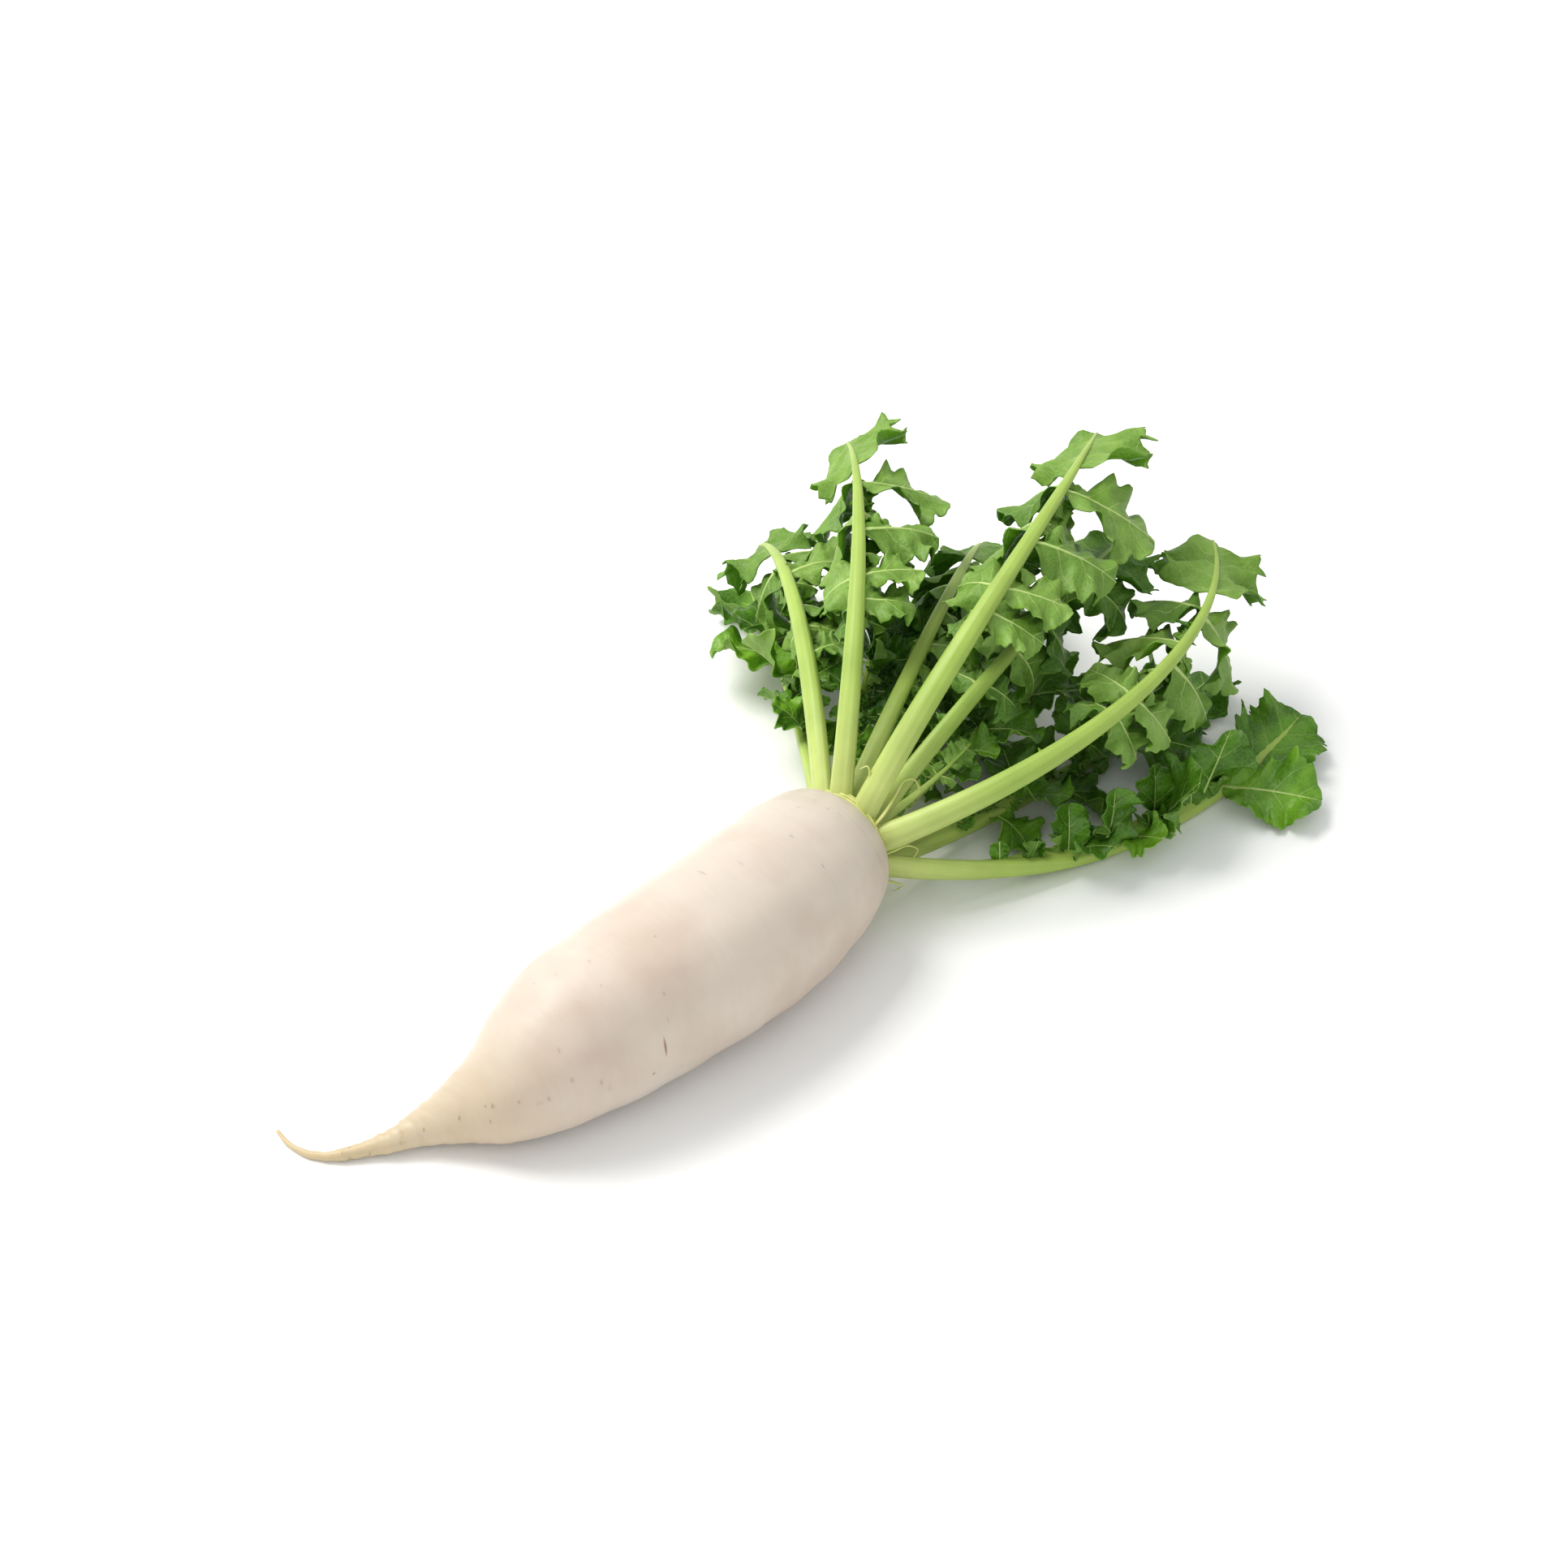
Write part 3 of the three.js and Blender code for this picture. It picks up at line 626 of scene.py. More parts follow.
WISP_FLATNESS = 0.6


def make_wisps():
    """Tubes on smooth lines. Their radius falls from the foot to the tip, and they are a little flat."""
    share, angle = np.meshgrid(
        np.linspace(0, 1, WISP_ROWS), np.linspace(0, TURN, WISP_AROUND, endpoint=False), indexing="ij"
    )
    grids = []
    for line in WISPS:
        ahead = unit(line_through(line, share + 5e-3) - line_through(line, share - 5e-3))
        side = unit(np.cross(UP, ahead))
        above = WISP_FLATNESS * np.cross(ahead, side)
        radius = (WISP_RADIUS * between(1, WISP_TIP, share))[..., None]
        around = side * np.cos(angle)[..., None] + above * np.sin(angle)[..., None]
        grids.append(line_through(line, share) + radius * around)
    grid = np.stack(grids)
    tips = grid[:, [0, -1]].mean(axis=2)
    points = np.concatenate([grid.reshape(len(WISPS), -1, 3), tips], axis=1)
    quads, fans = tube_faces(WISP_ROWS, WISP_AROUND)
    size = points.shape[1]
    faces = [repeated(kind, len(WISPS), size) for kind in (quads, fans)]
    return make_mesh("wisps", points.reshape(-1, 3), *faces)


total += place(make_wisps(), "crown", crown_material)

# %% [markdown]
# ## The leaves as lines
# Each leaf is a line that leaves the crown, turns sideways and sags as it goes, and lies along the
# table where it would sink into it. The line carries three directions: along it, to its side, and
# over it, where the upper face of the leaf looks. At its foot a stalk faces the crown's axis, and
# from there it twists to the leaf's own roll. Each line could be drawn by hand as a curve. Walking it
# in steps from a heading and a climb gives thirteen lines from one table, and none goes through the
# table top. Rings and lengths are in mm, seats and all turns in degrees.

# %% Leaf table
OUTER_RING = 16.5
INNER_RING = 7
STALK_START = 3
STALK_TAPER = 0.9
STALK_DEPTH = 0.78
FOOT_FLARE = 0.1
FOOT_LENGTH = 14
CHANNEL = 0.32
TWISTED = 0.55
ROLL_SWAY = 24
ROLL_WAVES = 1.3
WALK_STEPS = 48
CLEARANCE = 0.25
Leaf = namedtuple(
    "Leaf", "name ring seat heading turn climb sag length bare width taper pairs lobe cup droop roll seed"
)
LEAVES = [
    Leaf("a", OUTER_RING, 203, -35, 42, -18, -28, 226, 0.34, 12, 3, 4, 34, 72, 8, 20, 17),
    Leaf("b", OUTER_RING, 158, -42, 88, 25, 36, 250, 0.42, 11.5, 1.1, 5, 40, 38, 50, -150, 5),
    Leaf("c", INNER_RING, 155, -5, 25, 40, 58, 204, 0.36, 8.5, 1.3, 4, 40, 35, 50, -165, 237),
    Leaf("d", INNER_RING, 55, 16, 20, 36, 72, 216, 0.32, 8.5, 1.6, 5, 38, 38, 50, 165, 277),
    Leaf("e", OUTER_RING, 25, 50, 6, 34, 74, 210, 0.32, 10, 1.6, 5, 38, 38, 50, 140, 76),
    Leaf("f", OUTER_RING, 250, -8, 10, -8, -8, 216, 0.28, 10, 1.8, 5, 38, 30, 45, 0, 31),
    Leaf("g", OUTER_RING, 296, 20, 12, -4, 0, 210, 0.28, 10, 1.8, 5, 38, 28, 45, 8, 31),
    Leaf("h", OUTER_RING, 340, 50, 8, 0, 16, 200, 0.28, 10, 1.6, 5, 36, 30, 45, 20, 60),
    Leaf("j", OUTER_RING, 114, -4, 36, 54, 76, 238, 0.38, 10.5, 1.6, 5, 44, 34, 50, 176, 5),
    Leaf("k", OUTER_RING, 70, 36, 14, 54, 84, 218, 0.36, 9.5, 1.4, 5, 40, 38, 50, 160, 5),
    Leaf("l", INNER_RING, 250, 2, 12, 10, 14, 150, 0.3, 7.5, 1.5, 4, 28, 38, 40, 14, 204),
    Leaf("m", INNER_RING, 328, 34, 6, 19, 24, 136, 0.3, 7.5, 1.5, 4, 28, 38, 40, 40, 52),
    Leaf("n", 3, 180, -16, 24, 18, 10, 66, 0.3, 4, 1.5, 2, 9, 25, 40, 200, 59),
]
print("leaves:", len(LEAVES))

# %% Leaf lines


def stalk_width(leaf, share):
    """Width at the foot times 1 - 0.9 share^taper, so that a tenth is left at the tip."""
    return leaf.width * (1 - STALK_TAPER * share**leaf.taper)


def walk(leaf):
    """Sum of equal steps whose heading and climb change evenly, lifted by the most it sank so far."""
    share = (np.arange(WALK_STEPS) + 0.5) / WALK_STEPS
    heading = np.radians(leaf.heading + leaf.turn * share)
    climb = np.radians(leaf.climb - leaf.sag * share)
    ways = [np.cos(climb) * np.cos(heading), np.cos(climb) * np.sin(heading), np.sin(climb)]
    steps = np.stack(ways, -1) * leaf.length / WALK_STEPS
    seat = np.radians(leaf.seat)
    start = CROWN_BASE + [STALK_START, leaf.ring * np.cos(seat), leaf.ring * np.sin(seat)]
    points = np.cumsum(np.vstack([start, steps]), axis=0)
    lowest = stalk_width(leaf, share) * STALK_DEPTH / 2 + CLEARANCE
    sunk = np.maximum(lowest - points[1:, 2], 0)
    points[1:, 2] += np.maximum.accumulate(sunk)
    return points


def leaf_frame(leaf, points, share):
    """Place, and the directions along, to the side and over, at any shares of the leaf. Side and
    over are the level and the upright direction, turned about the line by the roll at that share."""
    here = line_through(points, share)
    along = unit(line_through(points, share + 2e-3) - line_through(points, share - 2e-3))
    level = unit(np.cross(UP, along))
    over = np.cross(along, level)
    facing = leaf.seat + 90
    target = leaf.roll - 360 * np.round((leaf.roll - facing) / 360)
    leafy = smoothstep(leaf.bare, 1, share)
    sway = ROLL_SWAY * leafy * np.sin(TURN * (ROLL_WAVES * share + draw(leaf.seed, 500)))
    roll = np.radians(between(facing, target, smoothstep(0, TWISTED, share)) + sway)[..., None]
    side = level * np.cos(roll) + over * np.sin(roll)
    return here, along, side, over * np.cos(roll) - level * np.sin(roll)


print("leaf a ends at", np.round(walk(LEAVES[0])[-1], 1), "mm")

# %% [markdown]
# ## Stalks
# A stalk goes on through its leaf as the rib, so one tube makes both: oval, grooved above, broad and
# flat where it leaves the crown, and as thin as a thread at the leaf's tip. A bevelled curve keeps one
# section all the way. On the grid the section can change: the groove, the ribs and the slow swellings
# are factors on its width and depth.

# %% Stalk shape
STALK_ROWS = 130
STALK_AROUND = 36
# How many ribs go round a stalk, and their height as a share of its radius.
BROAD_RIBS = (9, 0.018)
FINE_RIBS = (16, 0.012)
SWELLING = 0.03
SWELLING_PACE = 23


def make_stalk(leaf):
    """Line + side sin(a) width / 2 - over cos(a) depth / 2, pressed in above and finely ribbed."""
    share, angle = np.meshgrid(
        np.linspace(0, 1, STALK_ROWS), np.linspace(0, TURN, STALK_AROUND, endpoint=False), indexing="ij"
    )
    here, _, side, over = leaf_frame(leaf, walk(leaf), share)
    run = share * leaf.length
    foot = FOOT_FLARE * np.exp(-run / FOOT_LENGTH)
    width = stalk_width(leaf, share)
    rise = -np.cos(angle)
    grooved = np.where(rise > 0, rise * (1 - CHANNEL * np.maximum(rise, 0) ** 3), rise)
    broad = BROAD_RIBS[1] * np.sin(BROAD_RIBS[0] * angle + 2 * draw(leaf.seed, 300))
    ribbed = 1 + broad + FINE_RIBS[1] * np.sin(FINE_RIBS[0] * angle)
    bumpy = 1 + SWELLING * np.sin(run / SWELLING_PACE + leaf.seed) * (1 - share)
    across = np.sin(angle) * width * (1 + foot) / 2 * ribbed * bumpy
    deep = grooved * width * STALK_DEPTH * (1 - foot) / 2 * ribbed * bumpy
    points = here + side * across[..., None] + over * deep[..., None]
    points[..., 2] = np.maximum(points[..., 2], CLEARANCE / 2)
    tips = np.stack([points[0].mean(axis=0), points[-1].mean(axis=0)])
    quads, fans = tube_faces(STALK_ROWS, STALK_AROUND)
    ends = [0.0, leaf.length]
    return make_mesh(
        f"petiole_{leaf.name}",
        np.vstack([points.reshape(-1, 3), tips]),
        quads,
        fans,
        along=np.append(run, ends),
        round=np.append(np.sin(angle) + 0 * run, [0, 0]),
        tint=np.full(run.size + 2, draw(leaf.seed, 301)),
    )


for leaf in LEAVES:
    total += place(make_stalk(leaf), "stalk", stalk_material, f"stalk_{leaf.name}")

# %% [markdown]
# ## Leaf blade material
# The upper face is a waxy mid green, the lower one paler and matt. A pale main vein runs down each
# lobe, and side veins slant off it every 6 mm or so. A photograph of a leaf could be laid on as an
# image. Here both kinds of vein are drawn from attributes that the mesh carries along, so they follow
# the surface of every lobe, whatever its size. A net of finer veins puckers the rest.

# %% Leaf material
# Sizes of the patterns' features, in mm. A real leaf's finest net is under 1 mm, too fine to show.
LEAF_PATCH = 14.286
NET_CELL = 2.381
# Distance from a cell's edge, in cells, at which the net fades out, and how much it lightens the face.
NET_EDGE = 0.1
NET_STRENGTH = 0.22
# Where the main vein fades out and where it is full, in its own half widths.
MAIN_EDGE = (1.15, 0.7)
# A side vein's half width at the margin and at the main vein, as a share of the space between two.
SIDE_EDGE = (0.02, 0.085)
SIDE_STRENGTH = 0.6
LEAF_WAX_IOR = 1.5


def leaf_blade():
    """Daikon leaf, as grown: satin green above, pale and matt below, puckered between its veins."""
    material, tree, shader = new_material("leaf_blade")
    where = add(tree, "TexCoord")["Object"]
    across = add(tree, "Attribute", attribute_name="across")["Fac"]
    vein_run = add(tree, "Attribute", attribute_name="vein_run")["Fac"]
    margin = add(tree, "Attribute", attribute_name="margin")["Fac"]
    under = add(tree, "Attribute", attribute_name="under")["Fac"]
    tint = add(tree, "Attribute", attribute_name="tint")["Fac"]
    patches = add(tree, "TexNoise", {"Vector": where, "Scale": per_metre(LEAF_PATCH), "Detail": 4.0})["Fac"]
    mottle = add(tree, "MapRange", {0: patches, 1: 0.35, 2: 0.65})[0]
    deep = add(tree, "Mix", {0: tint, 6: linear("#234809"), 7: linear("#62961E")}, data_type="RGBA")[2]
    fresh = add(tree, "Mix", {0: tint, 6: linear("#3A7014"), 7: linear("#8EBB34")}, data_type="RGBA")[2]
    upper = add(tree, "Mix", {0: mottle, 6: deep, 7: fresh}, data_type="RGBA")[2]
    dull = add(tree, "Mix", {0: tint, 6: linear("#416A1B"), 7: linear("#7A9D38")}, data_type="RGBA")[2]
    bloom = add(tree, "Mix", {0: tint, 6: linear("#5C852F"), 7: linear("#98B55C")}, data_type="RGBA")[2]
    lower = add(tree, "Mix", {0: mottle, 6: dull, 7: bloom}, data_type="RGBA")[2]
    face = add(tree, "Mix", {0: under, 6: upper, 7: lower}, data_type="RGBA")[2]
    cells = {"Vector": where, "Scale": per_metre(NET_CELL)}
    net = add(tree, "TexVoronoi", cells, feature="DISTANCE_TO_EDGE")["Distance"]
    fine = add(tree, "MapRange", {0: net, 1: NET_EDGE, 2: 0.0, 4: NET_STRENGTH})[0]
    netted = add(tree, "Mix", {0: fine, 6: face, 7: linear("#93B45A")}, data_type="RGBA")[2]
    phase = add(tree, "Math", {0: vein_run, 1: 1.0}, operation="PINGPONG")[0]
    inner = add(tree, "MapRange", {0: margin, 1: 1.0, 2: 0.1, 3: SIDE_EDGE[0], 4: SIDE_EDGE[1]})[0]
    side = add(tree, "MapRange", {0: phase, 1: inner, 2: 0.0})[0]
    middle = add(tree, "Math", {0: across}, operation="ABSOLUTE")[0]
    main = add(tree, "MapRange", {0: middle, 1: MAIN_EDGE[0], 2: MAIN_EDGE[1]})[0]
    faint = add(tree, "Math", {0: side, 1: SIDE_STRENGTH}, operation="MULTIPLY")[0]
    veins = add(tree, "Math", {0: main, 1: faint}, operation="MAXIMUM")[0]
    colour = add(tree, "Mix", {0: veins, 6: netted, 7: linear("#B2C77C")}, data_type="RGBA")[2]
    sunk = add(tree, "Math", {0: veins, 1: -1.0, 2: net}, operation="MULTIPLY_ADD")[0]
    bump = add(tree, "Bump", {"Height": sunk, "Strength": 0.5, "Distance": 0.0006})["Normal"]
    gloss = add(tree, "MapRange", {0: under, 3: 0.4, 4: 0.52})[0]
    feed(tree, shader, Base_Color=colour, Normal=bump, Roughness=gloss, IOR=LEAF_WAX_IOR)
    feed(tree, shader, Subsurface_Weight=0.15, Subsurface_Radius=(0.5, 1.0, 0.2), Subsurface_Scale=0.0015)
    return material


leaf_material = leaf_blade()
print("material:", leaf_material.name)

# %% [markdown]
# ## Blades
# A daikon leaf is cut to its rib. Each side lobe is a small leaf of its own: a narrow foot, a toothed
# margin, a main vein that it folds along, and a margin that waves because it outgrew the middle. The
# lobes get larger towards the tip, and the last one closes the leaf.
#
# A lobe is a sheet on two parameters: t from its foot to its tip and u across it, from -1 to 1. Its
# vein is an arc that leaves the rib at a slant, rises, and bends down under its own weight. A flat
# outline that is bent afterwards would be quicker to make, but its margin couldn't outgrow its middle.
# Below, widths and depths are shares of a lobe's own size, lengths are mm, and angles are degrees.

# %% Lobe table
END_SHARE = 0.32
LOBE_GROWTH = 1.16
FIRST_LOBE = 0.34
LOBE_VARIES = 0.2
STATION_VARIES = 0.25
SLANT_FOOT = 76
SLANT_TIP = 50
SLANT_VARIES = 10
RISE_VARIES = 28
DROOP_VARIES = 28
LEVEL_DROOP = 0.7
TWIST_VARIES = 28
TWIST_AT_FOOT = 0.3
VEIN_LIFT = 0.1
HALF_WIDTH = 0.4
WIDTH_VARIES = 0.15
NECK = 1.1
NECK_GROWTH = 0.02
NECK_LIMIT = 0.12
END_NECK = 2.0
NECK_TAPER = 0.5
END_HALF_WIDTH = 0.56
FOLD = 16
FOLD_VARIES = 14
WAVE = 0.3
WAVE_SPREAD = 1.6
MARGIN_WAVES = 1.5
WAVE_PHASES = 3
HALVES_APART = 0.37
TOOTH_DEPTH = 0.2
# Large teeth along a margin, how blunt the lobe is, and how far its widest place is from the foot.
Outline = namedtuple("Outline", "teeth blunt fullness")
SIDE_OUTLINE = Outline(4.5, 0.62, 1.2)
END_OUTLINE = Outline(6.5, 0.55, 0.95)
# Small teeth for each large one.
SMALL_TEETH = 2.7
SMALL_TOOTH_DEPTH = 0.11
TOOTH_PEAK = 0.72
TOOTH_LEAN = 0.16
END_CUTS = 1.9
END_CUT_DEPTH = 0.16
SHORT_WAVE = 0.14
SHORT_WAVE_SPREAD = 2.4
SHORT_WAVES = 4.4
SIDE_VEIN_SPACING = 5.5
SIDE_VEIN_LEAN = 0.75
PUCKER = 0.75
# The mean of |sin|, about, so that the puckers go as far down as up.
PUCKER_MIDDLE = 0.6
CRUMPLE = 1.0
CRUMPLE_SIZE = 11.0
# A sheet whose half width is less than this has less relief.
FULL_RELIEF = 6
# A main vein's half width: a start, and a share of the lobe's length that falls to a tenth at the tip.
MAIN_VEIN = (0.12, 0.016)
RIDGE_UNDER = 0.7
# How light a lobe is: what its own draw gives, the power of that draw, and what its leaf's draw gives.
OWN_LIGHTNESS = 0.6
LIGHTNESS_POWER = 1.5
LEAF_LIGHTNESS = 0.4
LOBE_ROWS = 54
BLADE_THICKNESS = 0.45
# A leaf on a stalk narrower than this is thinner.
FULL_STALK = 7
LEFT_COLUMNS = np.array([-1, -0.94, -0.84, -0.7, -0.54, -0.37, -0.2, -0.07])
COLUMNS = np.concatenate([LEFT_COLUMNS, [0.0], -LEFT_COLUMNS[::-1]])
SMALL_LOBES = 12
SMALL_FROM = 0.66
SMALL_TO = 0.6
SMALL_SIZES = (0.06, 0.26)
SMALL_VARIES = 0.35
SMALL_STATION_VARIES = 0.4
SMALL_OVER_STALK = 0.6
SMALL_THINNESS = 0.7
SMALL_SLANT = 72
SMALL_SLANT_VARIES = 16
SMALL_RISE = 12
SMALL_CURL = 1.7
SMALL_FOLD = 1.4
SMALL_ROWS = 24
SMALL_COLUMNS = np.linspace(-1, 1, 11)
Lobes = namedtuple("Lobes", "vein ahead over half fold phase length tint curl")


def lobe_starts(leaf):
    """Where each pair of side lobes starts and how wide it is, each wider than the one before."""
    widths = LOBE_GROWTH ** np.arange(leaf.pairs)
    widths = widths * (1 - END_SHARE) / widths.sum()
    return np.cumsum(widths) - widths, widths


def leaf_tint(leaf, drawn):
    """How light a lobe's green is, from 0 to 1: partly its own draw, partly its leaf's."""
    return between(OWN_LIGHTNESS * drawn**LIGHTNESS_POWER, 1, LEAF_LIGHTNESS * draw(leaf.seed, 404))


def arched(leaf, points, share, hand, slant, length, cup, own, rows):
    """Vein = foot + length (out x + over z), an arc whose slope s = rise - bend t falls evenly:
    x = (sin rise - sin s) / bend and z = (cos s - cos rise) / bend."""
    stalk = stalk_width(leaf, share)
    here, along, side, over = leaf_frame(leaf, points, share)
    length = length[:, None]
    slant = np.radians(slant)[:, None]
    out = side * hand[:, None] * np.sin(slant) + along * np.cos(slant)
    rise = np.radians(cup + RISE_VARIES * own(4))[:, None]
    upright = over[:, 2:]
    droop = np.radians(leaf.droop + DROOP_VARIES * own(6))[:, None]
    droop = droop * (1 - LEVEL_DROOP * (1 - np.abs(upright)))
    bend = droop * np.where(upright >= 0, 1, -1)
    t = np.linspace(0, 1, rows)[None, :]
    slope = rise - bend * t
    reach = (length * (np.sin(rise) - np.sin(slope)) / bend)[..., None]
    height = (length * (np.cos(slope) - np.cos(rise)) / bend)[..., None]
    foot = here + over * (VEIN_LIFT * stalk)[:, None]
    vein = foot[:, None] + out[:, None] * reach + over[:, None] * height
    rising = np.sin(slope)[..., None]
    flat = np.cos(slope)[..., None]
    ahead = out[:, None] * flat + over[:, None] * rising
    level = over[:, None] * flat - out[:, None] * rising
    across = np.cross(level, ahead)
    twist = np.radians(TWIST_VARIES * own(5)[:, None] * (TWIST_AT_FOOT + t))[..., None]
    turned = level * np.cos(twist) - across * np.sin(twist)
    neck = np.minimum(NECK + NECK_GROWTH * length, NECK_LIMIT * length)
    wide = HALF_WIDTH * length * (1 + WIDTH_VARIES * own(2)[:, None])
    half = lobe_half(t, neck, wide, own(7)[:, None], SIDE_OUTLINE)
    fold = np.radians(FOLD + FOLD_VARIES * own(8)[:, None]) + 0 * t
    tint = leaf_tint(leaf, 0.5 + 0.5 * own(9))[:, None] + 0 * t
    return Lobes(vein, ahead, turned, half, fold, own(9), length[:, 0], tint, 1.0)


def side_lobes(leaf, points):
    """The main lobes in pairs, which get larger and lean further forwards towards the tip."""
    number = np.arange(2 * leaf.pairs)
    pair = number // 2
    hand = np.where(number % 2 == 0, 1, -1)

    def own(quality):
        return 2 * draw(leaf.seed, 20 * pair + np.where(hand > 0, 0, 10) + quality) - 1

    starts, widths = lobe_starts(leaf)
    station = starts[pair] + widths[pair] * (0.5 + STATION_VARIES * own(0))
    share = between(leaf.bare, 1, station)
    grown = between(FIRST_LOBE, 1, (pair + 1) / leaf.pairs) * (1 + LOBE_VARIES * own(1))
    length = leaf.lobe * grown + stalk_width(leaf, share) / 2
    slant = between(SLANT_FOOT, SLANT_TIP, station) + SLANT_VARIES * own(3)
    return arched(leaf, points, share, hand, slant, length, leaf.cup, own, LOBE_ROWS)


def small_lobes(leaf, points):
    """Curly leaflets below the lowest pair and between the lower ones."""
    number = np.arange(SMALL_LOBES)
    hand = np.where(number % 2 == 0, 1, -1)

    def own(quality):
        return 2 * draw(leaf.seed, 600 + 10 * number + quality) - 1

    place_of = (number + 0.5 + SMALL_STATION_VARIES * own(0)) / SMALL_LOBES
    share = between(SMALL_FROM * leaf.bare, between(leaf.bare, 1, SMALL_TO), place_of)
    grown = between(*SMALL_SIZES, place_of) * (1 + SMALL_VARIES * own(1))
    length = leaf.lobe * grown + stalk_width(leaf, share) * SMALL_OVER_STALK
    slant = SMALL_SLANT + SMALL_SLANT_VARIES * own(3)
    lobes = arched(leaf, points, share, hand, slant, length, leaf.cup + SMALL_RISE, own, SMALL_ROWS)
    return lobes._replace(curl=SMALL_CURL, fold=lobes.fold * SMALL_FOLD)


def tooth(place):
    """A margin tooth that rises slowly and falls off fast, so that it points forwards."""
    part = place - np.floor(place)
    return np.where(part < TOOTH_PEAK, part / TOOTH_PEAK, (1 - part) / (1 - TOOTH_PEAK))


def lobe_half(t, neck, wide, phase, outline):
    """Half width: a narrow neck plus sin(pi t^fullness)^blunt, cut into large and small teeth."""
    swell = np.sin(np.pi * t**outline.fullness).clip(0) ** outline.blunt
    large = 1 + TOOTH_DEPTH * (tooth(outline.teeth * t + 0.5 * phase) - 0.5)
    small = 1 + SMALL_TOOTH_DEPTH * (tooth(SMALL_TEETH * outline.teeth * t + phase) - 0.5)
    return neck * (1 - NECK_TAPER * t) + wide * swell * large * small


def end_lobe(leaf, points):
    """The last lobe: its vein is the leaf's own line, from the last pair to the tip."""
    t = np.linspace(0, 1, LOBE_ROWS)[None, :]
    share = between(leaf.bare, 1, between(1 - END_SHARE, 1, t))
    here, along, _, over = leaf_frame(leaf, points, share)
    length = np.array([leaf.length * (1 - leaf.bare) * END_SHARE])
    wide = END_HALF_WIDTH * leaf.lobe * (1 + END_CUT_DEPTH * np.sin(TURN * END_CUTS * t + leaf.seed))
    half = lobe_half(t, END_NECK, wide, draw(leaf.seed, 401), END_OUTLINE)
    lifted = here + over * (VEIN_LIFT * stalk_width(leaf, share))[..., None]
    fold = np.radians(FOLD) + 0 * t
    tint = leaf_tint(leaf, draw(leaf.seed, 403)) + 0 * t
    return Lobes(lifted, along, over, half, fold, np.array([draw(leaf.seed, 402)]), length, tint, 1.0)


def lobe_sheets(lobes, columns):
    """Vein + across u w cos f + over |u| w sin f, with w the half width and f the fold. Over it come
    two trains of waves that grow to the margin, a pucker |sin| between side veins, and a crumple."""
    u = columns[None, None, :]
    t = np.linspace(0, 1, lobes.half.shape[1])[None, :, None]
    away = np.abs(u)
    half = lobes.half[..., None]
    fold = lobes.fold[..., None]
    phase = lobes.phase[:, None, None] * WAVE_PHASES + np.where(u < 0, 0.0, HALVES_APART)
    body = lobes.curl * np.minimum(lobes.half.max(axis=1), 0.5 * lobes.length)[:, None, None]
    swell = np.sqrt(np.sin(np.pi * t).clip(0))
    grown = np.minimum(1, half / FULL_RELIEF)
    long_wave = WAVE * body * away**WAVE_SPREAD * swell * np.sin(TURN * (MARGIN_WAVES * t + phase))
    ripple = np.sin(TURN * (SHORT_WAVES * t + 2 * phase))
    short_wave = SHORT_WAVE * body * away**SHORT_WAVE_SPREAD * swell * ripple
    run = t * lobes.length[:, None, None] - SIDE_VEIN_LEAN * away * half
    swollen = np.abs(np.sin(np.pi * run / SIDE_VEIN_SPACING)) - PUCKER_MIDDLE
    pucker = PUCKER * swollen * (1 - away**4) * np.minimum(1, 4 * away)
    level = u * half * np.cos(fold)
    raised = away * half * np.sin(fold) + long_wave + short_wave + pucker * grown
    leaning = TOOTH_LEAN * half * away**2
    across = np.cross(lobes.over, lobes.ahead)
    middle = (
        lobes.vein[:, :, None]
        + across[:, :, None] * level[..., None]
        + lobes.over[:, :, None] * raised[..., None]
        + lobes.ahead[:, :, None] * leaning[..., None]
    )
    crumple = CRUMPLE * unevenness(middle, CRUMPLE_SIZE, 33) * np.minimum(1, 3 * away) * grown
    middle = middle + lobes.over[:, :, None] * crumple[..., None]
    return middle, run, away * half * np.sign(u), away + 0 * run


print("columns across a lobe:", len(COLUMNS))

# %% [markdown]
# A sheet gets its two faces by moving its points half a thickness along the normal, to either side.
# A Solidify modifier does that too, but here the lower face moves further under the main vein, which
# stands out there as a ridge. Where a lobe meets the table it flattens softly against it.

# %% Blades


def rested(points, lowest):
    """Keeps z above lowest by a soft floor: lowest + (h + sqrt(h^2 + 1)) / 2, with h the height over it."""
    above = points[..., 2] - lowest
    points[..., 2] = lowest + (above + np.sqrt(above**2 + 1)) / 2
    return points


def sheet_faces(rows, columns, count):
    """Quads of both faces of count sheets and of the rim between them, with their normals out."""
    i = np.arange(rows - 1)[:, None] * columns
    j = np.arange(columns - 1)[None, :]
    face = np.stack([i + j, i + columns + j, i + columns + j + 1, i + j + 1], -1).reshape(-1, 4)
    sheet = rows * columns
    down = np.arange(rows - 1) * columns
    right = (rows - 1) * columns + np.arange(columns - 1)
    back = np.arange(rows - 1, 0, -1) * columns + columns - 1
    left = np.arange(columns - 1, 0, -1)
    rim = np.concatenate([down, right, back, left])
    onward = np.roll(rim, -1)
    wall = np.stack([onward, rim, rim + sheet, onward + sheet], -1)
    return repeated(np.vstack([face, face[:, ::-1] + sheet, wall]), count, 2 * sheet)


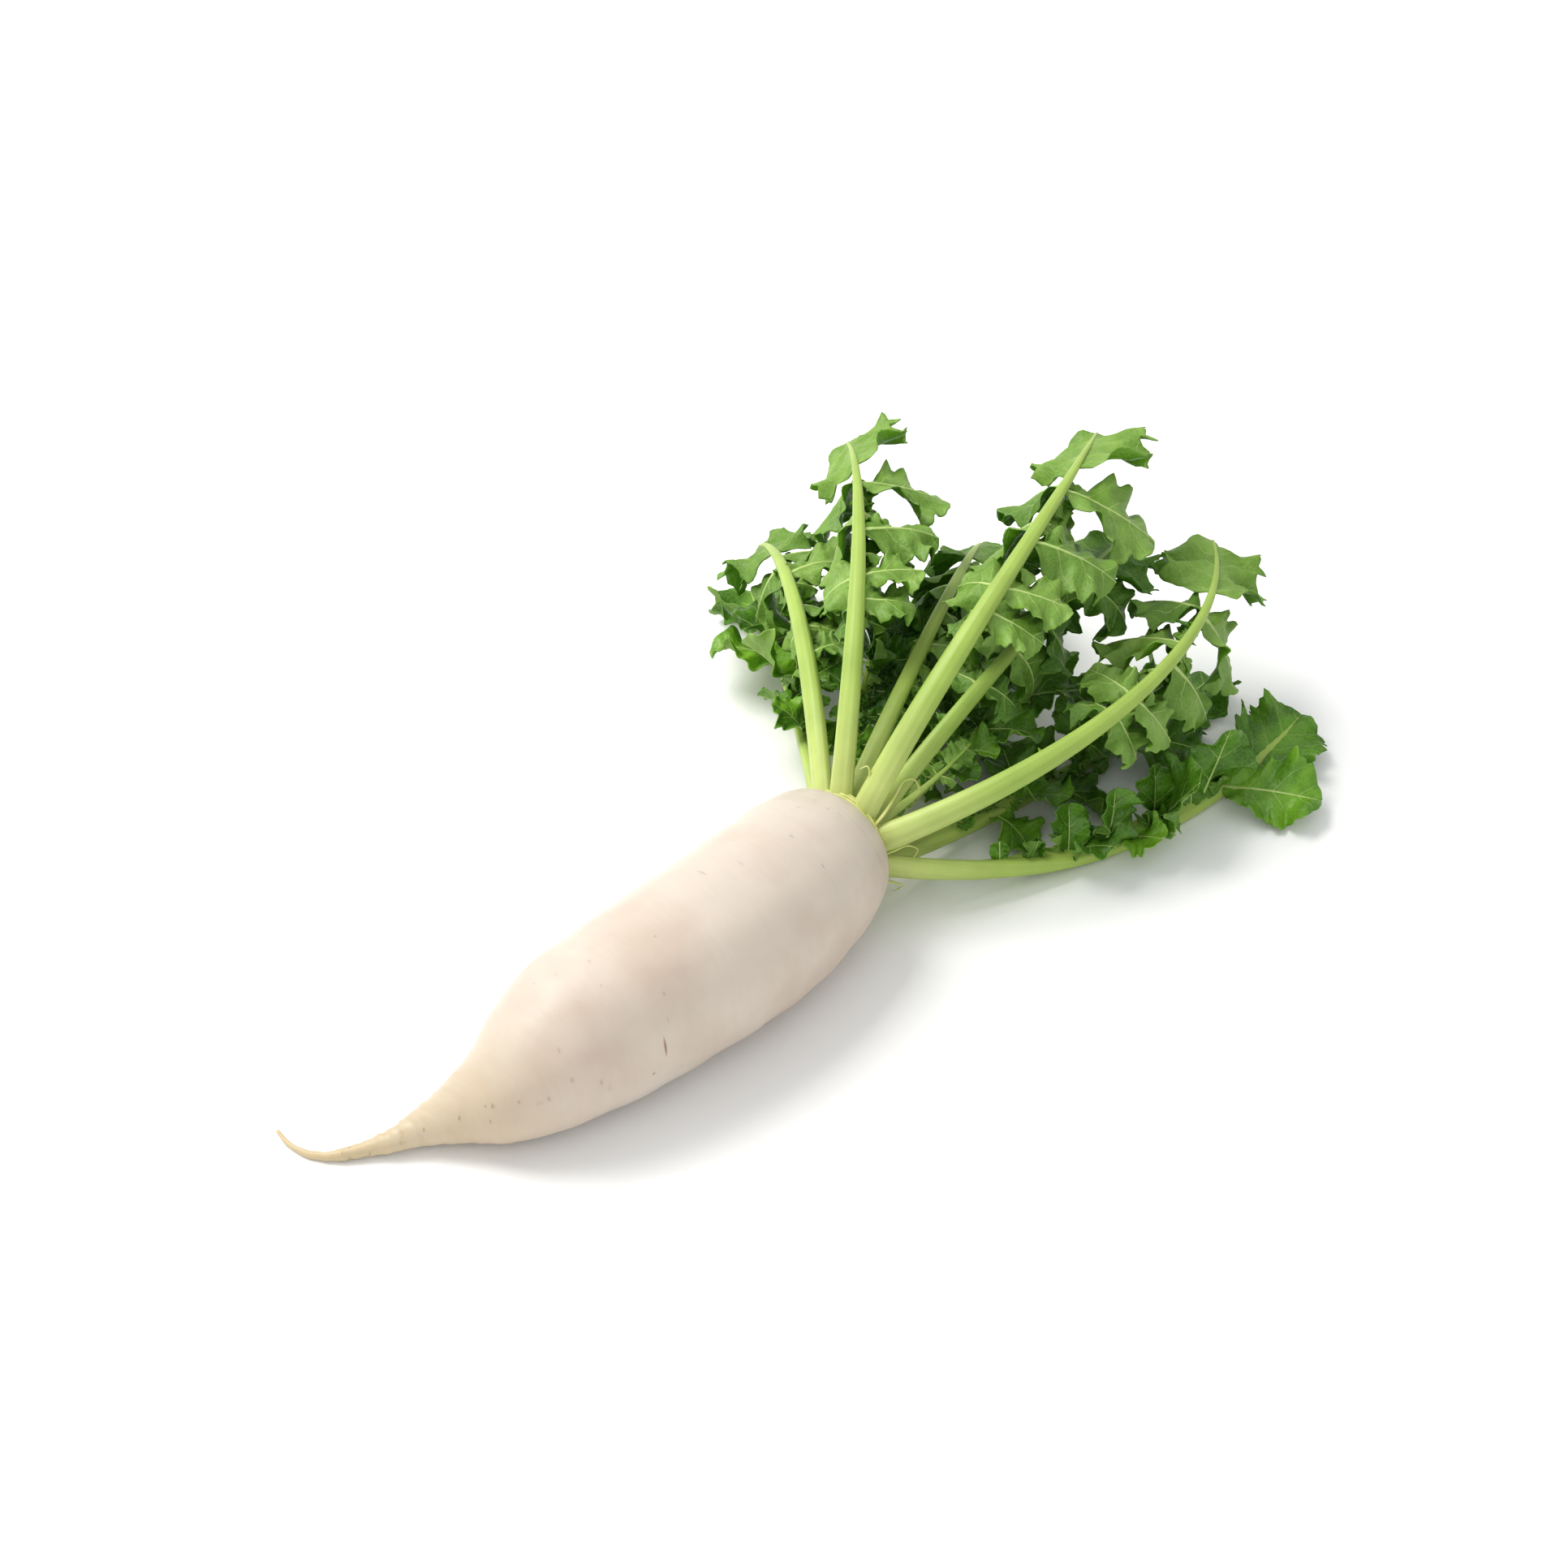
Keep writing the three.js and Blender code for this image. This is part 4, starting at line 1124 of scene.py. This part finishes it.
def thick_sheets(lobes, columns, thickness):
    """Points, faces and attributes of closed sheets: their middle moved half a thickness both ways."""
    middle, run, across, margin = lobe_sheets(lobes, columns)
    middle = rested(middle, CLEARANCE + thickness)
    count, rows = middle.shape[:2]
    t = np.linspace(0, 1, rows)[None, :, None]
    vein = MAIN_VEIN[0] + MAIN_VEIN[1] * lobes.length[:, None, None] * (1.1 - t)
    normal = unit(np.cross(np.gradient(middle, axis=1), np.gradient(middle, axis=2)))
    ridge = RIDGE_UNDER * vein * np.exp(-((across / vein) ** 2))
    upper = middle + normal * thickness / 2
    lower = middle - normal * (thickness / 2 + ridge)[..., None]
    lower[..., 2] = np.maximum(lower[..., 2], CLEARANCE / 2)
    values = {
        "across": across / vein,
        "vein_run": run / SIDE_VEIN_SPACING,
        "margin": margin,
        "tint": lobes.tint[..., None] + 0 * run,
    }
    attributes = {title: np.stack([value, value], axis=1).ravel() for title, value in values.items()}
    attributes["under"] = np.stack([0 * run, 0 * run + 1], axis=1).ravel()
    return np.stack([upper, lower], axis=1).reshape(-1, 3), sheet_faces(rows, len(columns), count), attributes


def make_blade(leaf):
    """All lobes of a leaf as closed sheets in one mesh."""
    points = walk(leaf)
    thickness = BLADE_THICKNESS * min(1, leaf.width / FULL_STALK)
    parts = [
        thick_sheets(side_lobes(leaf, points), COLUMNS, thickness),
        thick_sheets(end_lobe(leaf, points), COLUMNS, thickness),
        thick_sheets(small_lobes(leaf, points), SMALL_COLUMNS, SMALL_THINNESS * thickness),
    ]
    ahead = np.cumsum([0] + [len(part[0]) for part in parts])
    quads = np.vstack([part[1] + first for part, first in zip(parts, ahead)])
    attributes = {title: np.concatenate([part[2][title] for part in parts]) for title in parts[0][2]}
    return make_mesh(f"leaf_{leaf.name}", np.vstack([part[0] for part in parts]), quads, **attributes)


for leaf in LEAVES:
    total += place(make_blade(leaf), "leaf", leaf_material, f"blade_{leaf.name}")

# %% [markdown]
# ## Table, light and camera
# The photograph has a white ground, a large soft light from the upper left and behind, and a gentle
# shadow to the lower right. Sun lamps would give hard shadows. Two square lamps of more than a metre
# and an even world give soft ones. The camera's place was fitted to the root's outline.

# %% Stage
FLOOR_SIZE = 6.0
WORLD_STRENGTH = 0.7


def make_floor():
    """A large square at z = 0 of matt white laminate, whose roughness blurs every reflection."""
    corners = np.array([(-1, -1, 0), (1, -1, 0), (1, 1, 0), (-1, 1, 0)]) * FLOOR_SIZE / 2 / MM
    floor = make_mesh("floor", corners, np.array([[0, 1, 2, 3]]))
    material, tree, shader = new_material("pale_table")
    feed(tree, shader, Base_Color=linear("#F4F4F3"), Roughness=0.7)
    floor.data.materials.append(material)


def aimed(away):
    """Rotation that turns a lamp's back to the given direction, with its top upwards."""
    level = np.hypot(away[0], away[1])
    return (np.arctan2(level, away[2]), 0.0, np.arctan2(away[0], -away[1]))


def add_light(name, place_at, aim, size, watts, colour):
    """A square area light that looks at a point."""
    lamp = bpy.data.lights.new(name, "AREA")
    lamp.size = size
    lamp.energy = watts
    lamp.color = linear(colour)[:3]
    holder = bpy.data.objects.new(name, lamp)
    holder.location = place_at
    away = np.array(place_at) - np.array(aim)
    holder.rotation_euler = aimed(away)
    bpy.context.scene.collection.objects.link(holder)


def make_world():
    """An even, nearly white light from all sides, as in a light tent."""
    world = bpy.data.worlds.new("studio")
    world.use_nodes = True
    shade = world.node_tree.nodes["Background"]
    shade.inputs["Color"].default_value = linear("#F9FAFB")
    shade.inputs["Strength"].default_value = WORLD_STRENGTH
    bpy.context.scene.world = world


make_floor()
make_world()
add_light("key", (-0.25, 1.0, 1.5), aim=(0.05, 0.0, 0.0), size=1.1, watts=25.0, colour="#FFFDF9")
add_light("fill", (-1.4, -0.9, 1.2), aim=(0.0, 0.0, 0.0), size=1.6, watts=6.0, colour="#F4F8FF")
bpy.context.scene.view_settings.view_transform = "Standard"
bpy.context.scene.view_settings.look = "Medium High Contrast"
print("lights:", [lamp.name for lamp in bpy.data.lights])

# %% Camera
CAMERA_PLACE = (-0.6086, -0.6447, 0.8619)
CAMERA_AZIMUTH = -45.18
CAMERA_ELEVATION = 40.0
LENS = 72.0
SENSOR = 36.0

lens = bpy.data.cameras.new("camera")
lens.lens = LENS
lens.sensor_width = SENSOR
camera = bpy.data.objects.new("camera", lens)
camera.location = CAMERA_PLACE
camera.rotation_euler = (np.radians(90 - CAMERA_ELEVATION), 0.0, np.radians(CAMERA_AZIMUTH))
bpy.context.scene.collection.objects.link(camera)
bpy.context.scene.camera = camera
print("triangles in all:", total)
